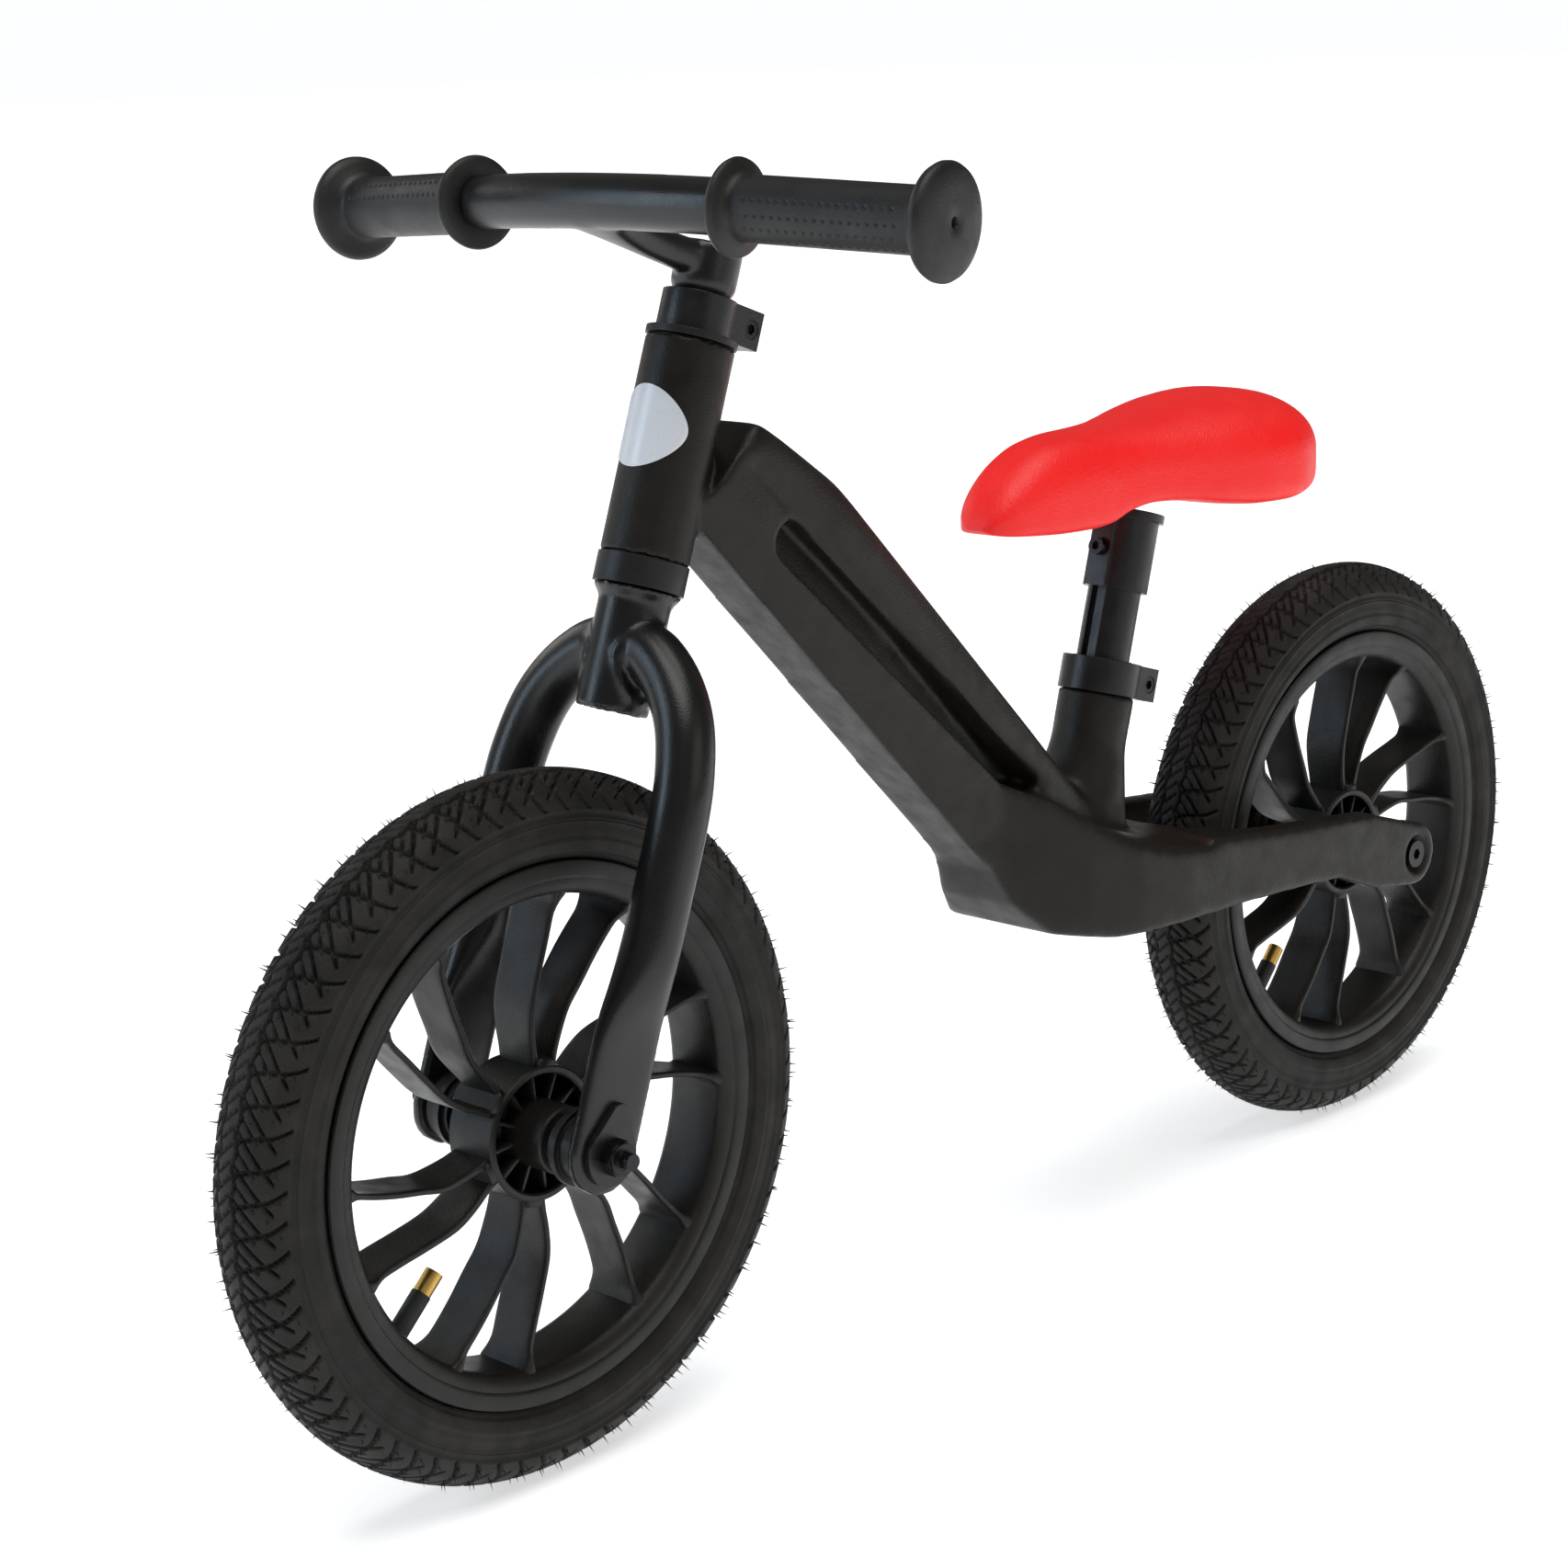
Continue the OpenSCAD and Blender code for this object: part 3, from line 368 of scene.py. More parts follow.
TYRE_R = 147.0
SECTION_R = 22.0                  # of the casing's round section
TYRE_MID = TYRE_R - SECTION_R     # radius of the section's middle
PITCHES = 72                      # tread blocks round the tyre
BLOCK_COLUMNS = 15                # mesh columns to a block
CROWN_ROWS = 93                   # mesh rows across the finely meshed crown
CROWN_HALF = 31.0                 # half width of that crown, along the section's arc
TREAD_HALF = 27.5                 # half width of the tread, along the same arc
BEAD_ANGLE = 127                  # where the sidewall ends, in degrees from the crown
HAIR_R = 0.42                     # of a moulding hair's foot


def line_gap(value, period):
    """Distance to the nearest of a family of lines one period apart."""
    v = np.mod(value, period)
    return np.minimum(v, period - v)


def tread_depth(around, across):
    """How deep the tread's grooves cut, from 0 to 1; both inputs in millimetres."""
    pitch = TAU * TYRE_R / PITCHES
    side = np.abs(across)
    hand = np.where(across > 0, 0.5 * pitch, 0.0)
    depth = np.zeros(np.broadcast(around, across).shape)

    def cut(distance, width, zone, strength=1.0):
        nonlocal depth
        line = 1 - smoothstep(width * 0.35, width, distance)
        depth = np.maximum(depth, line * zone * strength)

    # Cross grooves from the centre rib out to the shoulder, leaning with a slight bend
    sweep = 0.42 * side + 1.2 * np.sin(side / 27 * TAU)
    zone = smoothstep(5.2, 6.0, side) * (1 - smoothstep(26.2, 27.2, side))
    cut(line_gap(around + hand + sweep, pitch), 1.25, zone)
    # Steep diagonals: two to a pitch, each long one reaching into the shoulder's blocks
    steep = around + hand - 1.15 * side
    zone = smoothstep(3.6, 4.4, side) * (1 - smoothstep(20.5, 21.5, side))
    cut(line_gap(steep, pitch), 1.25, zone)
    zone = smoothstep(4.8, 5.6, side) * (1 - smoothstep(13.2, 14.2, side))
    cut(line_gap(steep + pitch * 0.5, pitch), 1.0, zone, 0.85)
    # Zigzag grooves beside the centre rib, and the rib's own sipes
    zig = np.abs(np.mod((around + hand) / pitch, 1.0) - 0.5) * 2
    cut(np.abs(side - 3.6 - 1.9 * zig), 0.95, np.ones_like(depth))
    crown = 1 - smoothstep(2.6, 3.4, side)
    cut(line_gap(around + 0.9 * across, pitch / 2), 0.8, crown, 0.7)
    return depth


def tyre_mesh(rng):
    """Casing with cut tread, shoulder step, moulded rings and a hollow inside."""
    columns = PITCHES * BLOCK_COLUMNS
    u = np.arange(columns) / columns * TAU
    tread = np.linspace(-CROWN_HALF, CROWN_HALF, CROWN_ROWS) / SECTION_R
    side = np.linspace(CROWN_HALF / SECTION_R, math.radians(BEAD_ANGLE), 26)[1:]
    phi = np.concatenate([-side[::-1], tread, side])
    across = phi * SECTION_R
    depth = tread_depth(u[:, None] * TYRE_R, across[None, :])
    on_tread = 1 - smoothstep(TREAD_HALF - 0.3, TREAD_HALF + 0.5, np.abs(across))
    r = SECTION_R - 1.7 + 1.1 * on_tread[None, :] - 1.8 * depth * on_tread[None, :]
    deg = np.degrees(np.abs(phi))
    ring = np.exp(-((deg - 78.5) / 0.9)**2) * 0.45 + np.exp(-((deg - 82.5) / 0.9)**2) * 0.35
    rib = 0.9 * smoothstep(100, 103, deg) * (1 - smoothstep(117, 119, deg))
    r = r + (ring + rib + 0.35 * smoothstep(88, 96, deg))[None, :]
    r = np.broadcast_to(r, (columns, len(phi)))
    pts = np.empty((columns, len(phi) + 6, 3))
    radial = TYRE_MID + r * np.cos(phi)
    height = r * np.sin(phi)
    # The inside of the casing closes the section between the beads
    inner = np.array([[112.6, 12.4], [118, 14.5], [141, 6], [141, -6], [118, -14.5], [112.6, -12.4]])
    radial = np.concatenate([radial, np.tile(inner[:, 0], (columns, 1))], 1)
    height = np.concatenate([height, np.tile(inner[:, 1], (columns, 1))], 1)
    pts[..., 0] = radial * np.cos(u)[:, None]
    pts[..., 1] = radial * np.sin(u)[:, None]
    pts[..., 2] = height
    return joined([grid(pts, close_u=True), moulding_hairs(rng)])


def moulding_hairs(rng):
    """Thin rubber hairs that the mould's vents leave on the tread's blocks."""
    verts, faces = [], []
    base = SECTION_R - 1.2
    # Each row's place across the tread, and how many half blocks apart its hairs stand
    rows = [(-23, 2), (-14, 2), (14, 2), (23, 2), (-18.5, 3), (18.5, 3), (-9, 3), (9, 3)]
    for across, every in rows:
        for k in range(0, PITCHES * 2, every):
            a = (k + rng.uniform(-0.25, 0.25)) / (PITCHES * 2) * TAU
            phi = (across + rng.uniform(-1, 1)) / SECTION_R
            length = rng.uniform(3.2, 5.6)
            reach = TYRE_MID + (base + length) * math.cos(phi)
            if reach > TYRE_R - 0.2:
                length -= (reach - TYRE_R + 0.2) / math.cos(phi)
            length = min(length, (SECTION_R - 0.3) / abs(math.sin(phi)) - base)
            lean = rng.uniform(-0.5, 0.5, 2)
            out = np.array([math.cos(phi) * math.cos(a), math.cos(phi) * math.sin(a), math.sin(phi)])
            along = np.array([-math.sin(a), math.cos(a), 0])
            over = np.cross(out, along)
            foot = np.array([TYRE_MID * math.cos(a), TYRE_MID * math.sin(a), 0]) + out * base
            start = len(verts)
            for j in range(4):
                q = j * TAU / 4
                verts.append(foot + HAIR_R * (math.cos(q) * along + math.sin(q) * over))
            verts.append(foot + out * length + (lean[0] * along + lean[1] * over) * 0.6)
            faces += [[start + j, start + (j + 1) % 4, start + 4] for j in range(4)]
            faces.append([start + 3, start + 2, start + 1, start])
    return np.array(verts), faces


# ---------------------------------------------------------------- wheels
# Middle line of the two blades of a spoke pair: radius, then degrees from the pair's anchor
BLADE_A = [(26, -8.5), (34, -10.6), (42, -11.5), (53, -10.5), (68, -6.5), (80, -4), (100, -1.5)]
BLADE_B = [(26, 8.5), (42, 8.7), (52, 10), (62, 13.5), (75, 16.5), (88, 19.3), (100, 22)]
SPOKE_PAIRS = 6


def blade(points, anchor):
    """One spoke: a broad, thin, curved blade with rounded edges and a flared rim end."""
    line = curve_through([(r * math.cos(math.radians(a)), r * math.sin(math.radians(a)))
                          for r, a in points], 30)
    normal = side_normals(line)
    t = np.linspace(0, 1, len(line))
    half_w = 10.6 + 1.2 * smoothstep(0.0, 0.4, t) + 3.4 * smoothstep(0.84, 1.0, t)
    half_t = 1.75 + 0.9 * (1 - smoothstep(0, 0.12, t)) + 3.2 * smoothstep(0.88, 1.0, t)**2
    count = 28
    q = np.arange(count) / count * TAU
    # Slightly waisted section, so that the edges stand up as fine beads
    x = bulged(np.cos(q), 0.55)
    z = bulged(np.sin(q), 0.4)
    waist = 1 - 0.28 * (1 - np.abs(z)**3)
    rings = np.empty((len(line), count, 3))
    offset = half_t[:, None] * (x * waist)[None, :]
    rings[..., 0] = line[:, :1] + offset * normal[:, :1]
    rings[..., 1] = line[:, 1:] + offset * normal[:, 1:]
    rings[..., 2] = half_w[:, None] * z[None, :]
    # Angles run from +X towards +Z of the bike, which is -Y in the wheel's frame
    return grid(spun(rings, anchor) * (1, -1, 1), cap=True)


def rim_profile():
    """Closed section of the rim: well, bead seats and rolled flanges."""
    half = [(97.6, 0), (97.6, 12.6), (98.4, 14.6), (100.5, 16.6), (103, 17.4), (104.4, 17.5),
            (104.9, 18.1), (106, 18.5), (110.4, 18.6), (111.5, 18.3), (112, 17.5), (111.8, 16.3),
            (111, 15.9), (105.2, 15.7), (104.2, 14.9), (104, 9), (101.2, 6.6)]
    return mirrored(half)


def hub_parts():
    """Ring, web and barrel of the hub."""
    ring = [(28, 12.2), (27.2, 13), (25.4, 13), (24.6, 12.2), (24.6, 2.6), (24, 2), (15, 2),
            (14, 3), (14, 25.2), (13.2, 26), (11.6, 26), (11, 25.4)]
    parts = [closed_turned(mirrored(ring), 96)]
    for k in range(SPOKE_PAIRS * 2):
        a = (k + 0.5) * TAU / (SPOKE_PAIRS * 2)
        parts.append(rounded_bar(13.2, 25.4, 1.1, 10.4, a))
    for k in range(SPOKE_PAIRS):
        a = -k * TAU / SPOKE_PAIRS
        parts.append(rounded_bar(26.6, 30.4, 5.6, 12.6, a))
    return parts


def rounded_bar(start, end, half_t, half_w, angle):
    """Rib between two radii, rounded in section, turned about the axle."""
    count = 20
    q = np.arange(count) / count * TAU
    y = half_t * bulged(np.cos(q), 0.5)
    z = half_w * bulged(np.sin(q), 0.35)
    rings = []
    for x, k in ((start, 0.94), (start + 0.4, 1.0), (end - 0.8, 1.0), (end, 0.8)):
        rings.append(np.stack([np.full(count, x), y * k, z * (0.96 if k < 1 else 1)], 1))
    return grid(spun(np.array(rings), angle), cap=True)


def wheel_mesh():
    """Rim, hub and six pairs of swirled spokes."""
    parts = [closed_turned(rim_profile(), 240)] + hub_parts()
    for k in range(SPOKE_PAIRS):
        for points in (BLADE_A, BLADE_B):
            parts.append(blade(points, k * TAU / SPOKE_PAIRS))
    return joined(parts)


TURNS = {"front": 40.2, "rear": 37.3}      # degrees that the first spoke pair stands turned
for end, axle, seed in (("front", front_axle, 11), ("rear", rear_axle, 23)):
    m = wheel_matrix(axle, TURNS[end])
    piece(end + "_tyre_tread", tyre_mesh(np.random.default_rng(seed)), end + "_wheel",
          "tyre_rubber", (end + "_tyre",), m, sharp=50)
    piece(end + "_wheel_moulding", wheel_mesh(), end + "_wheel",
          "wheel_moulding", (end + "_wheel",), m)


# ---------------------------------------------------------------- saddle
def saddle_mesh():
    """Soft one-piece saddle, lofted over stations from nose to back."""
    low, high = (np.array(corner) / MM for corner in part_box("saddle"))
    length = high[0] - low[0]
    # Share of the length from the nose, half width, underside, top (millimetres)
    stations = np.array([
        [0.000, 5, 7.0, 9.5], [0.008, 9, 5.6, 13], [0.03, 14, 4.2, 20], [0.07, 18, 3.0, 28.5],
        [0.13, 21, 1.8, 37.0], [0.2, 23, 0.8, 42.5], [0.28, 24.5, 0.5, 44.6],
        [0.33, 25.5, 1.4, 44.8], [0.39, 27.5, 6.0, 45.0], [0.46, 31.5, 8.4, 45.6],
        [0.54, 38, 7.4, 47.4], [0.64, 46.5, 3.6, 50.4], [0.74, 52, 1.2, 52.7],
        [0.82, 53.5, 0.8, 53.4], [0.89, 50.5, 2.4, 51.8], [0.94, 44.5, 6.5, 48.0],
        [0.975, 34, 15.5, 42], [0.99, 24, 21, 37], [0.994, 19, 24, 34.5]])
    t = np.linspace(0, 1, 120)
    t = (0.5 - 0.5 * np.cos(np.pi * t)) * stations[-1, 0]
    keys = stations[:, 0]
    half = smooth_interp(t, keys, stations[:, 1])
    bottom = smooth_interp(t, keys, stations[:, 2])
    top = smooth_interp(t, keys, stations[:, 3])
    count = 72
    q = np.arange(count) / count * TAU
    rings = np.empty((len(t), count, 3))
    mid = top * 0.42 + bottom * 0.58
    c, s = np.cos(q), np.sin(q)
    for i in range(len(t)):
        flat = 0.7 + 0.16 * smoothstep(0.3, 0.7, t[i])
        y = half[i] * bulged(c, np.where(s > 0, flat, 0.3))
        up = (top[i] - mid[i]) * np.abs(s)**0.92
        down = (mid[i] - bottom[i]) * np.abs(s)**0.32
        z = np.where(s > 0, mid[i] + up, mid[i] - down)
        rings[i, :, 0] = high[0] - t[i] * length
        rings[i, :, 1] = y
        rings[i, :, 2] = low[2] + z
    return grid(rings, cap=True)


def smooth_interp(t, keys, values):
    """Monotone cubic through the stations."""
    h = np.diff(keys)
    d = np.diff(values) / h
    m = np.empty(len(keys))
    m[0], m[-1] = d[0], d[-1]
    same = d[1:] * d[:-1] > 0
    w1, w2 = 2 * h[1:] + h[:-1], h[1:] + 2 * h[:-1]
    inner = np.zeros(len(d) - 1)
    inner[same] = (w1 + w2)[same] / (w1[same] / d[:-1][same] + w2[same] / d[1:][same])
    m[1:-1] = inner
    i = np.clip(np.searchsorted(keys, t, side="right") - 1, 0, len(h) - 1)
    x = (t - keys[i]) / h[i]
    return ((2 * x**3 - 3 * x**2 + 1) * values[i] + (x**3 - 2 * x**2 + x) * h[i] * m[i]
            + (3 * x**2 - 2 * x**3) * values[i + 1] + (x**3 - x**2) * h[i] * m[i + 1])


saddle = piece("saddle_pad", saddle_mesh(), "saddle", "saddle_skin", ("saddle",), np.eye(4),
               sharp=180)


# ---------------------------------------------------------------- grips
# The bar's middle is an arc that bows ahead of the post, and its ends are straight
BAR_REACH = 68.0                  # how far the arc's middle lies ahead of the steering axis
BAR_HIGH = 362.3                  # up the steering axis from the front axle
BAR_SWEEP = math.radians(8)       # how far each end points backwards
ARC_HALF = 72.0                   # half width of the arc
BAR_END = 97.0                    # how much width each straight end adds
ARC_R = ARC_HALF / math.sin(BAR_SWEEP)
ARC_MID = BAR_REACH - ARC_R       # the arc's centre, measured like the reach
ARC_END = ARC_MID + ARC_R * math.cos(BAR_SWEEP)


def bar_end_matrix(side):
    """Frame of a straight bar end in the head frame, +Z outwards along it."""
    z_axis = np.array([-math.sin(BAR_SWEEP), side * math.cos(BAR_SWEEP), 0])
    y_axis = np.array([0, 0, -1.0])
    x_axis = np.cross(y_axis, z_axis)
    local = np.eye(4)
    local[:3, 0], local[:3, 1], local[:3, 2] = x_axis, y_axis, z_axis
    local[:3, 3] = np.array([ARC_END, side * ARC_HALF, BAR_HIGH]) * MM
    return HEAD @ local


def grip_mesh():
    """Grip: thin inner flange, dimpled handle, domed end flange with a small hole."""
    count, handle_r = 168, 12.7
    handle = np.linspace(9, 86, 170)
    inner = [(11.2, 0.1), (16, 0.3), (18.4, 0.9), (19, 2.2), (18.6, 3.5), (17, 4.2), (14.6, 4.9),
             (13.2, 6.0), (handle_r, 7.6)]
    outer = [(12.75, 87.2), (13.4, 88.8), (15.2, 90.2), (18.6, 91.6), (20.8, 92.8), (21.8, 94.6),
             (21.9, 96.2), (21.0, 97.8), (18.5, 98.9), (13, 99.6), (7, 99.95), (2.6, 100),
             (2.1, 99.6), (2.0, 94.5)]
    back = [(2.0, 93.5), (9.6, 93.4), (9.6, 0.3)]
    profile = inner + [(handle_r, z) for z in handle] + outer + back
    pts = turned(profile, count)
    a = np.arange(count) / count * TAU
    # Dimples stand in staggered rows along the handle; three rows in seven stay plain
    rows, spacing = 14, 3.9
    first, last = len(inner), len(inner) + len(handle)
    z = handle[:, None]
    row = np.round(a / TAU * rows)
    off_a = (a - row / rows * TAU) * handle_r
    shift = np.where(row % 2 == 0, 0, spacing / 2)[None, :]
    off_z = np.mod(z - 14 + shift + spacing / 2, spacing) - spacing / 2
    gap = np.sqrt(off_a[None, :]**2 + off_z**2)
    inside = smoothstep(12, 12.4, z) * (1 - smoothstep(82.6, 83, z))
    dimpled = np.where(np.mod(row, 7) >= 4, 0.0, 1.0)[None, :]
    dent = 0.55 * (1 - smoothstep(0.35, 0.95, gap)) * inside * dimpled
    pts[first:last, :, :2] *= (1 - dent / handle_r)[..., None]
    return grid(pts, close_u=True)


for side, label in ((1, "left"), (-1, "right")):
    piece(label + "_grip_rubber", grip_mesh(), "handlebar", "grip_rubber", (label + "_grip",),
          bar_end_matrix(side), sharp=60)


# ---------------------------------------------------------------- frame moulding
# The beam's own frame: origin at its foot, +X along it to the steering axis, +Z up
BEAM_FOOT = np.array([rear_axle[0] + 0.292, 0.0, front_axle[2] + 0.048])
HEAD_LOW = 0.234                  # lower end of the head tube, up the steering axis
BEAM_MEETS = 0.0233               # where the beam meets it, above that end
BEAM_STOP = 7                     # millimetres from the beam's end to the steering axis
beam_tip = front_axle + steer_dir * (HEAD_LOW + BEAM_MEETS)
beam_up = math.atan2(beam_tip[2] - BEAM_FOOT[2], beam_tip[0] - BEAM_FOOT[0])
beam_len = math.hypot(beam_tip[2] - BEAM_FOOT[2], beam_tip[0] - BEAM_FOOT[0]) / MM - BEAM_STOP
BEAM = np.eye(4)
BEAM[:3, 0] = (math.cos(beam_up), 0, math.sin(beam_up))
BEAM[:3, 2] = (-math.sin(beam_up), 0, math.cos(beam_up))
BEAM[:3, 3] = BEAM_FOOT


def prism(outline, y0, y1):
    """Flat outline in X-Z, extruded along Y."""
    n = len(outline)
    verts = [(x, y0, z) for x, z in outline] + [(x, y1, z) for x, z in outline]
    faces = [[i, (i + 1) % n, n + (i + 1) % n, n + i] for i in range(n)]
    faces += [list(range(n))[::-1], list(range(n, 2 * n))]
    return np.array(verts, float), faces


def wedge(inner, outer, y0, y1):
    """Solid between two outlines in X-Z of equal length, at two values of Y."""
    verts, faces = prism(inner, y0, y1)
    n = len(inner)
    verts[n:, 0] = [x for x, z in outer]
    verts[n:, 2] = [z for x, z in outer]
    return verts, faces


def combine(target, tool, operation):
    """Adds the tool's solid to the target, or cuts it out, and removes the tool."""
    outward(tool)
    mod = target.modifiers.new("cut", "BOOLEAN")
    mod.operation = operation
    mod.solver = "EXACT"
    mod.object = tool
    apply_modifiers(target)
    bpy.data.objects.remove(tool)


def frame_mesh():
    """The frame's CAD solid with its moulded details cut in and added."""
    source = nodes["frame"]
    obj = bpy.data.objects.new("frame_moulding", source.data.copy())
    bpy.context.scene.collection.objects.link(obj)
    weld = obj.modifiers.new("weld", "WELD")
    weld.merge_threshold = 1e-6
    apply_modifiers(obj)
    front, back = beam_len - 40, 12
    for side in (1, -1):
        # Undercut that carries the pocket's upper edge on towards the head tube
        cut = [(back + 30, 44), (front - 12, 35.2), (front + 10, 33.8), (beam_len - 2, 34.2),
               (beam_len + 1, 35.2), (front + 12, 38.6), (front - 16, 41.4)]
        v, f = prism(cut, side * 18.6, side * 26)
        combine(obj, placed_object("undercut", v, f, BEAM), "DIFFERENCE")
        # Pocket: a floor that falls away from its lower edge, and a deep lower end
        v, f = prism([(17, 33), (9, 45), (126, 39.5), (126, 26)], side * 2.5, side * 12)
        combine(obj, placed_object("deep_end", v, f, BEAM), "DIFFERENCE")
        rings = []
        for x in np.linspace(10, front + 3, 30):
            share = min(1, max(0, (x - 14) / (front - 26)))
            lower, upper = 32 - 15 * share, 46.5 - 11 * share
            rings.append([(x, side * 1.5, lower - 2),
                          (x, side * (3 + 13.2 * smoothstep(10, 190, x)), lower - 2),
                          (x, side * (3 + 6.6 * smoothstep(10, 150, x)), upper - 1.5),
                          (x, side * 1.5, upper - 1.5)])
        v, f = grid(np.array(rings), cap=True)
        combine(obj, placed_object("floor", v, f, BEAM), "UNION")
        # Slope from the seat tube's foot down to the top of each arm
        inner = [(-110, 192), (-72, 203), (-38, 219), (-6, 238), (20, 262), (20, 330), (-110, 330)]
        outer = [(-110, 188), (-72, 193), (-38, 203), (-6, 220), (20, 244), (20, 330), (-110, 330)]
        v, f = wedge(inner, outer, side * 22.3, side * 60)
        combine(obj, placed_object("slope", v, f, np.eye(4)), "DIFFERENCE")
    return obj


def frame_softness(co):
    """Smoothing passes: few on the beam's crisp edges, many where tubes and arms blend."""
    local = co - np.array([rear_axle[0], 0, rear_axle[2]])
    x, z = local[:, 0] / MM, local[:, 2] / MM
    yoke = smoothstep(60, 110, x) * (1 - smoothstep(268, 300, x)) * (1 - smoothstep(88, 112, z))
    arms = 1 - smoothstep(60, 120, x)
    beam = (co - BEAM_FOOT) @ BEAM[:3, :3] / MM
    head = (co - HEAD[:3, 3]) @ HEAD[:3, :3] / MM
    clear = smoothstep(19.5, 25, np.hypot(head[:, 0], head[:, 1]))
    neck = smoothstep(beam_len - 75, beam_len - 40, beam[:, 0]) * smoothstep(30, 48, beam[:, 2])
    return 1.2 + 22 * yoke + 5 * arms + 80 * neck * clear


frame_skin = frame_mesh()
melt(frame_skin, voxel=0.0015, passes=frame_softness)
frame_skin.data.materials.clear()
frame_skin.data.materials.append(finishes["frame_moulding"])
shade(frame_skin, 180)
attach(frame_skin, "frame")
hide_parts("frame")


# ---------------------------------------------------------------- fork
CROWN_R = 15.0                    # of the tube that the legs are welded to
LEG_R = 12.0
DROPOUT_R = 17.0                  # half width and end radius of a flattened dropout


def fork_leg(side):
    """Bent tube from the crown down, pressed flat into a dropout with a round end."""
    line = curve_through([(8, 199), (20, 194.5), (33, 184), (42.5, 170), (48, 152), (50, 134),
                          (50, 104), (49.8, 84), (48.6, 66), (47.2, 52), (47, 36), (47, 17),
                          (47, 0), (47, -DROPOUT_R)], 110)
    normal = side_normals(line)
    s = line[:, 1]
    press = 1 - smoothstep(36, 82, s)
    half_t = LEG_R * (1 - press) + 3.5 * press
    half_x = LEG_R + (DROPOUT_R - LEG_R) * (1 - smoothstep(34, 84, s))
    end = np.clip(1 - (np.minimum(s, 0) / DROPOUT_R)**2, 0.0004, 1)
    half_x = half_x * np.sqrt(end)
    count = 48
    q = np.arange(count) / count * TAU
    cx = bulged(np.cos(q), 1 - 0.35 * press[:, None])
    cy = bulged(np.sin(q), 1 - 0.62 * press[:, None])
    rings = np.empty((len(line), count, 3))
    rings[..., 0] = half_x[:, None] * cx
    rings[..., 1] = side * (line[:, :1] + half_t[:, None] * cy * normal[:, :1])
    rings[..., 2] = line[:, 1:] + half_t[:, None] * cy * normal[:, 1:]
    return grid(rings, cap=True)


def weld_bead(side, rng):
    """Row of small overlapping ripples where a leg meets the crown tube."""
    parts = []
    ripples, seam_r = 40, LEG_R + 0.4
    for k in range(ripples):
        a = k / ripples * TAU
        x = seam_r * math.cos(a)
        along = seam_r * math.sin(a)
        y = math.sqrt(CROWN_R**2 - x * x)
        s = 190 + (along + 0.55 * (CROWN_R - y)) * 1.12
        r = 2.0 + rng.uniform(-0.15, 0.15)
        ball = [(r * math.sin(t), r * 0.9 * -math.cos(t)) for t in np.linspace(0.15, math.pi - 0.15, 6)]
        v, f = grid(turned(ball, 10), cap=True)
        parts.append((v + np.array([x, side * (y + 0.2), s]), f))
    return parts


def fork_mesh():
    """Crown tube with the steerer, the two legs and their welds."""
    rng = np.random.default_rng(5)
    crown = [(12.5, 171), (14.6, 171), (15, 171.5), (15, 216.7), (15.4, 217.2), (18.2, 220.8),
             (18.5, 221.7), (12.7, 221.7), (12.7, 300), (12.7, 343.3), (11.2, 343.3), (11.2, 195),
             (12.5, 193)]
    parts = [closed_turned(crown, 96)]
    for side in (1, -1):
        parts.append(fork_leg(side))
        parts += weld_bead(side, rng)
    return joined(parts)


fork_skin = piece("fork_frame", fork_mesh(), "fork", "fork_paint", ("fork",), HEAD, sharp=180)
melt(fork_skin, voxel=0.0012, passes=4)
shade(fork_skin, 180)


# ---------------------------------------------------------------- handlebar
def bar_mesh():
    """Arched bar, its straight ends, the post on the clamp and the gusset between them."""
    count = 40
    q = np.arange(count) / count * TAU
    stations = []
    for y in np.linspace(-ARC_HALF - BAR_END, ARC_HALF + BAR_END, 130):
        side = 1 if y > 0 else -1
        if abs(y) <= ARC_HALF:
            a = math.asin(y / ARC_R)
            stations.append((ARC_MID + ARC_R * math.cos(a), y, a, 11.0))
        else:
            run = (abs(y) - ARC_HALF) / math.cos(BAR_SWEEP)
            x = ARC_END - run * math.sin(BAR_SWEEP)
            stations.append((x, y, side * BAR_SWEEP, 9.5))
    rings = np.empty((len(stations), count, 3))
    for i, (x, y, a, r) in enumerate(stations):
        out = np.array([math.cos(a), math.sin(a), 0])
        rings[i] = np.array([x, y, BAR_HIGH]) + r * (np.cos(q)[:, None] * out
                                                     + np.sin(q)[:, None] * np.array([0, 0, 1]))
    parts = [grid(rings, cap=True)]
    post = [(3, 343.8), (11.6, 343.8), (13.3, 346.4), (13.5, 347.4), (13.5, 362.8),
            (12.8, 364.2), (3, 364.4)]
    parts.append(closed_turned(post, 64))
    quill = [(9.2, 247.5), (11.1, 247.5), (11.1, 350), (9.2, 350)]
    parts.append(closed_turned(quill, 64))
    # Gusset: lens-shaped foot under the bar, hollow sides running back to the post
    rings = []
    for t in np.linspace(0, 1, 26):
        x = -2 + (BAR_REACH + 4) * t
        low = 349.6 + 1.5 * t - 0.8 * math.sin(t * math.pi)
        high = 364.2 - 2.2 * t
        half = 12.6 - 6.8 * math.sin(min(1, t * 1.12) * math.pi)**0.8 + 1.5 * smoothstep(0.8, 1, t)
        ring = []
        for k in range(20):
            a = k / 20 * TAU
            y = half * bulged(math.cos(a), 0.8)
            z = (low + high) / 2 + (high - low) / 2 * bulged(math.sin(a), 0.8)
            ring.append((x, y, z))
        rings.append(ring)
    parts.append(grid(np.array(rings), cap=True))
    return joined(parts)


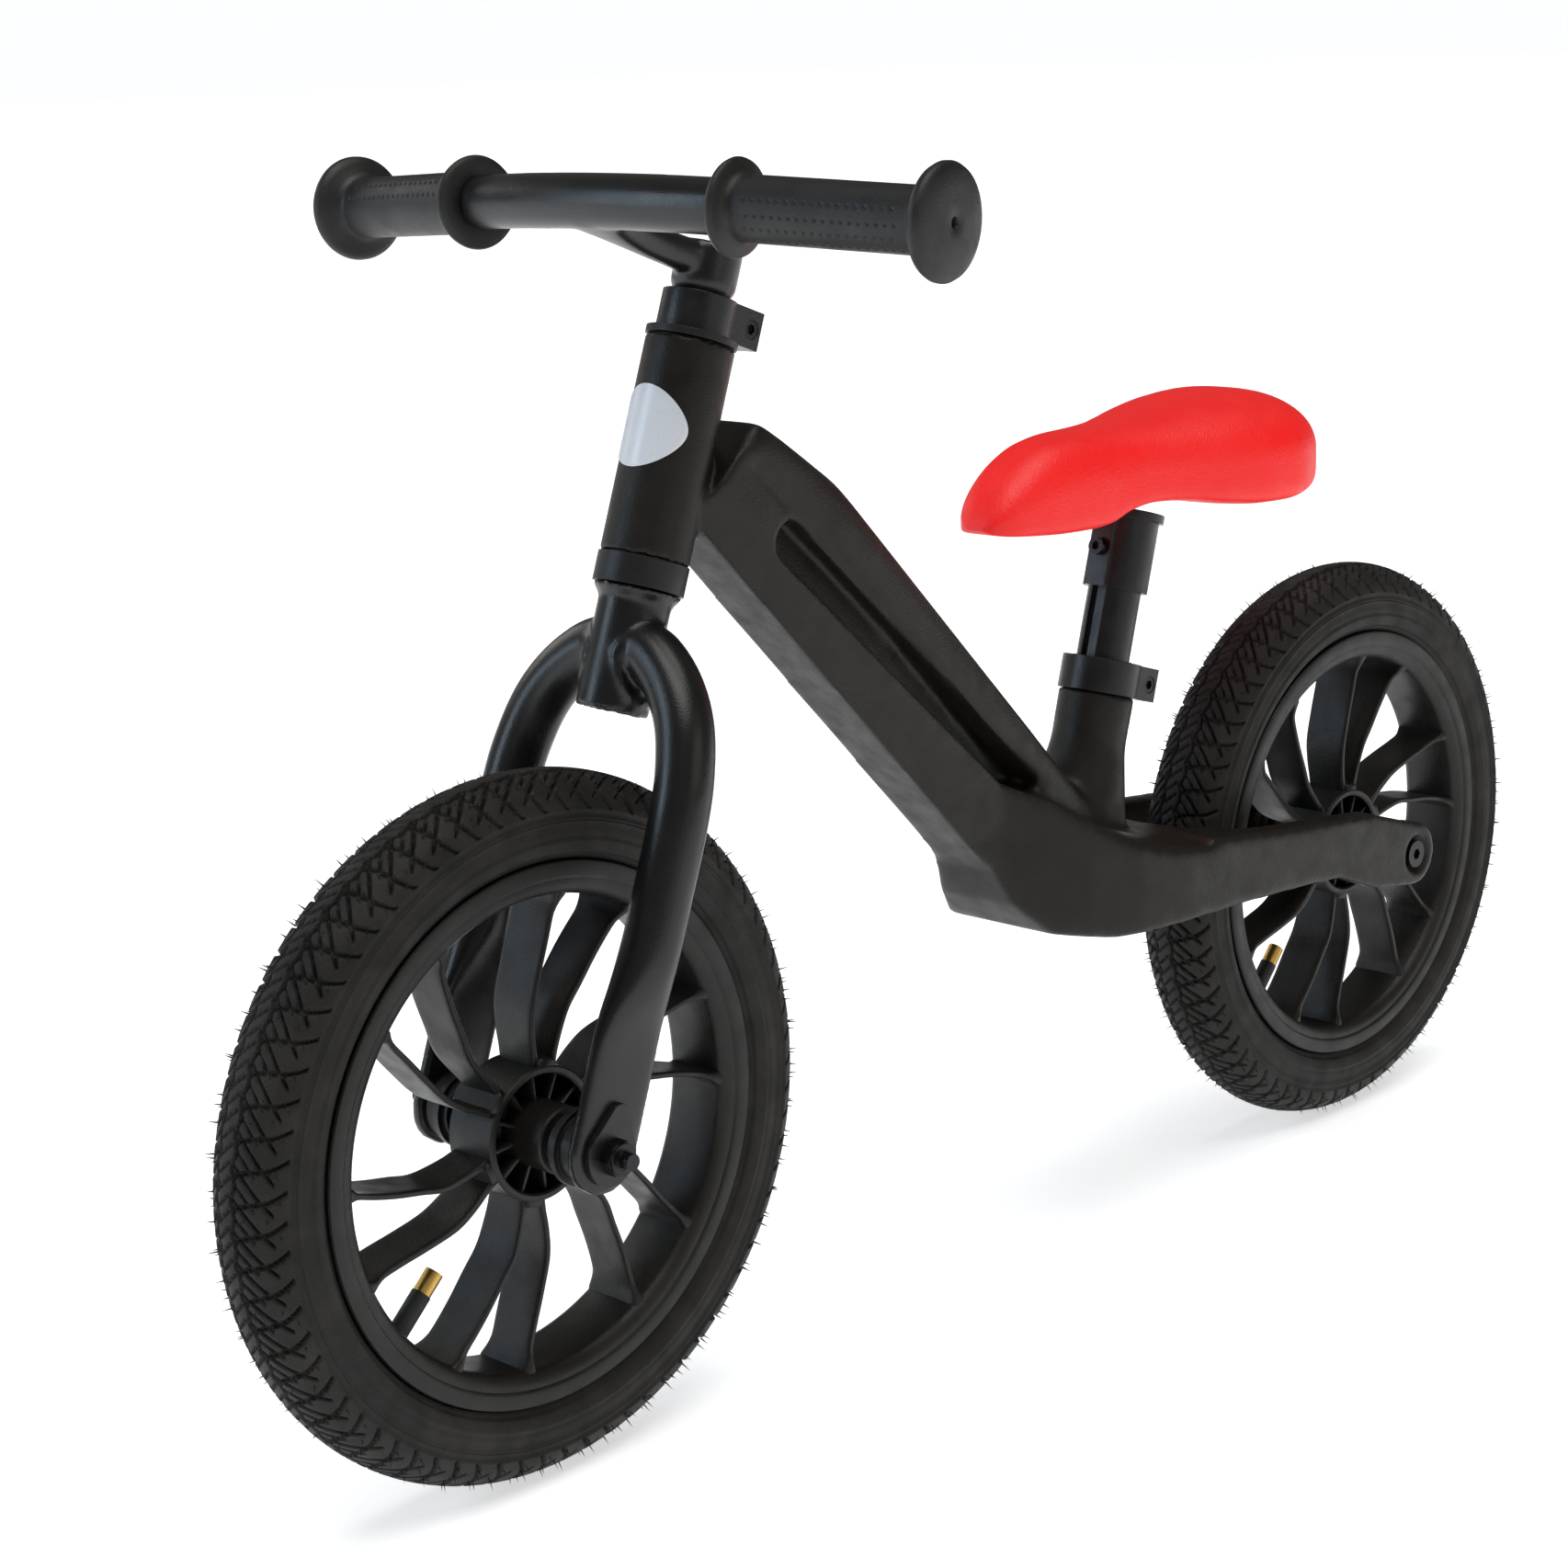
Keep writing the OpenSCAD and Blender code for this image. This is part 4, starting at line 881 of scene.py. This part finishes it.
bar_skin = piece("bar_and_stem", bar_mesh(), "handlebar", "bar_paint",
                 ("handlebar", "stem_quill"), HEAD, sharp=180)
melt(bar_skin, voxel=0.0012, passes=6)
shade(bar_skin, 180)


# ---------------------------------------------------------------- floor and light
def floor_material():
    """White studio floor that glows a little, as an overlit sweep does."""
    m = bpy.data.materials.new("floor_white")
    m.use_nodes = True
    bsdf = m.node_tree.nodes["Principled BSDF"]
    bsdf.inputs["Base Color"].default_value = (0.86, 0.87, 0.89, 1)
    bsdf.inputs["Roughness"].default_value = 0.9
    bsdf.inputs["Emission Color"].default_value = (1, 1, 1, 1)
    bsdf.inputs["Emission Strength"].default_value = 0.58
    return m


bpy.ops.mesh.primitive_plane_add(size=60)
floor = bpy.context.object
floor.name = "floor"
floor.data.materials.append(floor_material())

world = bpy.data.worlds.new("studio")
world.use_nodes = True
tree = world.node_tree
dim = tree.nodes["Background"]
dim.inputs[0].default_value = (1.0, 0.98, 0.94, 1)
dim.inputs[1].default_value = 0.14
seen = tree.nodes.new("ShaderNodeBackground")
seen.inputs[0].default_value = (0.985, 0.992, 1.0, 1)
path = tree.nodes.new("ShaderNodeLightPath")
blend = tree.nodes.new("ShaderNodeMixShader")
tree.links.new(path.outputs["Is Camera Ray"], blend.inputs[0])
tree.links.new(dim.outputs[0], blend.inputs[1])
tree.links.new(seen.outputs[0], blend.inputs[2])
tree.links.new(blend.outputs[0], tree.nodes["World Output"].inputs[0])
bpy.context.scene.world = world
bpy.context.scene.view_settings.view_transform = "Standard"


def lamp(name, kind, at, target, power, colour):
    """Light of any kind, aimed at a target."""
    light = bpy.data.lights.new(name, kind)
    light.energy = power
    light.color = colour
    obj = bpy.data.objects.new(name, light)
    obj.location = at
    obj.rotation_euler = (Vector(target) - Vector(at)).to_track_quat("-Z", "Y").to_euler()
    bpy.context.scene.collection.objects.link(obj)
    return light


def softbox(name, at, target, size, power, colour):
    """Rectangular area light of the given width and height."""
    light = lamp(name, "AREA", at, target, power, colour)
    light.shape = "RECTANGLE"
    light.size, light.size_y = size


sun = lamp("overhead", "SUN", (0.3, 0.5, 3), (0, 0, 0), 2.1, (1.0, 0.99, 0.97))
sun.angle = math.radians(50)
softbox("front_strip", (1.9, -1.3, 1.1), (0.2, 0, 0.3), (0.5, 1.5), 14, (0.66, 0.83, 1.0))
softbox("left_panel", (-0.2, 2.3, 1.3), (0, 0, 0.25), (1.6, 0.9), 5, (1.0, 0.96, 0.9))
softbox("right_panel", (0.2, -2.3, 1.2), (0, 0, 0.25), (1.4, 0.8), 6, (1.0, 0.98, 0.95))

# ---------------------------------------------------------------- camera
camera = bpy.data.objects.new("camera", bpy.data.cameras.new("camera"))
bpy.context.scene.collection.objects.link(camera)
CAMERA_AT = (1.0592, 0.911, 0.5743)
# Degrees: the way it looks, round from +X and up from level, and its roll
azimuth, elevation, roll = (math.radians(a) for a in (-135.6758, -13.64, -1.9821))
forward = Vector((math.cos(elevation) * math.cos(azimuth),
                  math.cos(elevation) * math.sin(azimuth), math.sin(elevation)))
level = forward.cross(Vector((0, 0, 1))).normalized()
upright = level.cross(forward)
right = math.cos(roll) * level + math.sin(roll) * upright
up = math.cos(roll) * upright - math.sin(roll) * level
turn = Matrix((right, up, -forward)).transposed().to_4x4()
camera.matrix_world = Matrix.Translation(CAMERA_AT) @ turn
camera.data.sensor_width = 36
camera.data.lens = 71.757
camera.data.clip_start = 0.05
bpy.context.scene.camera = camera
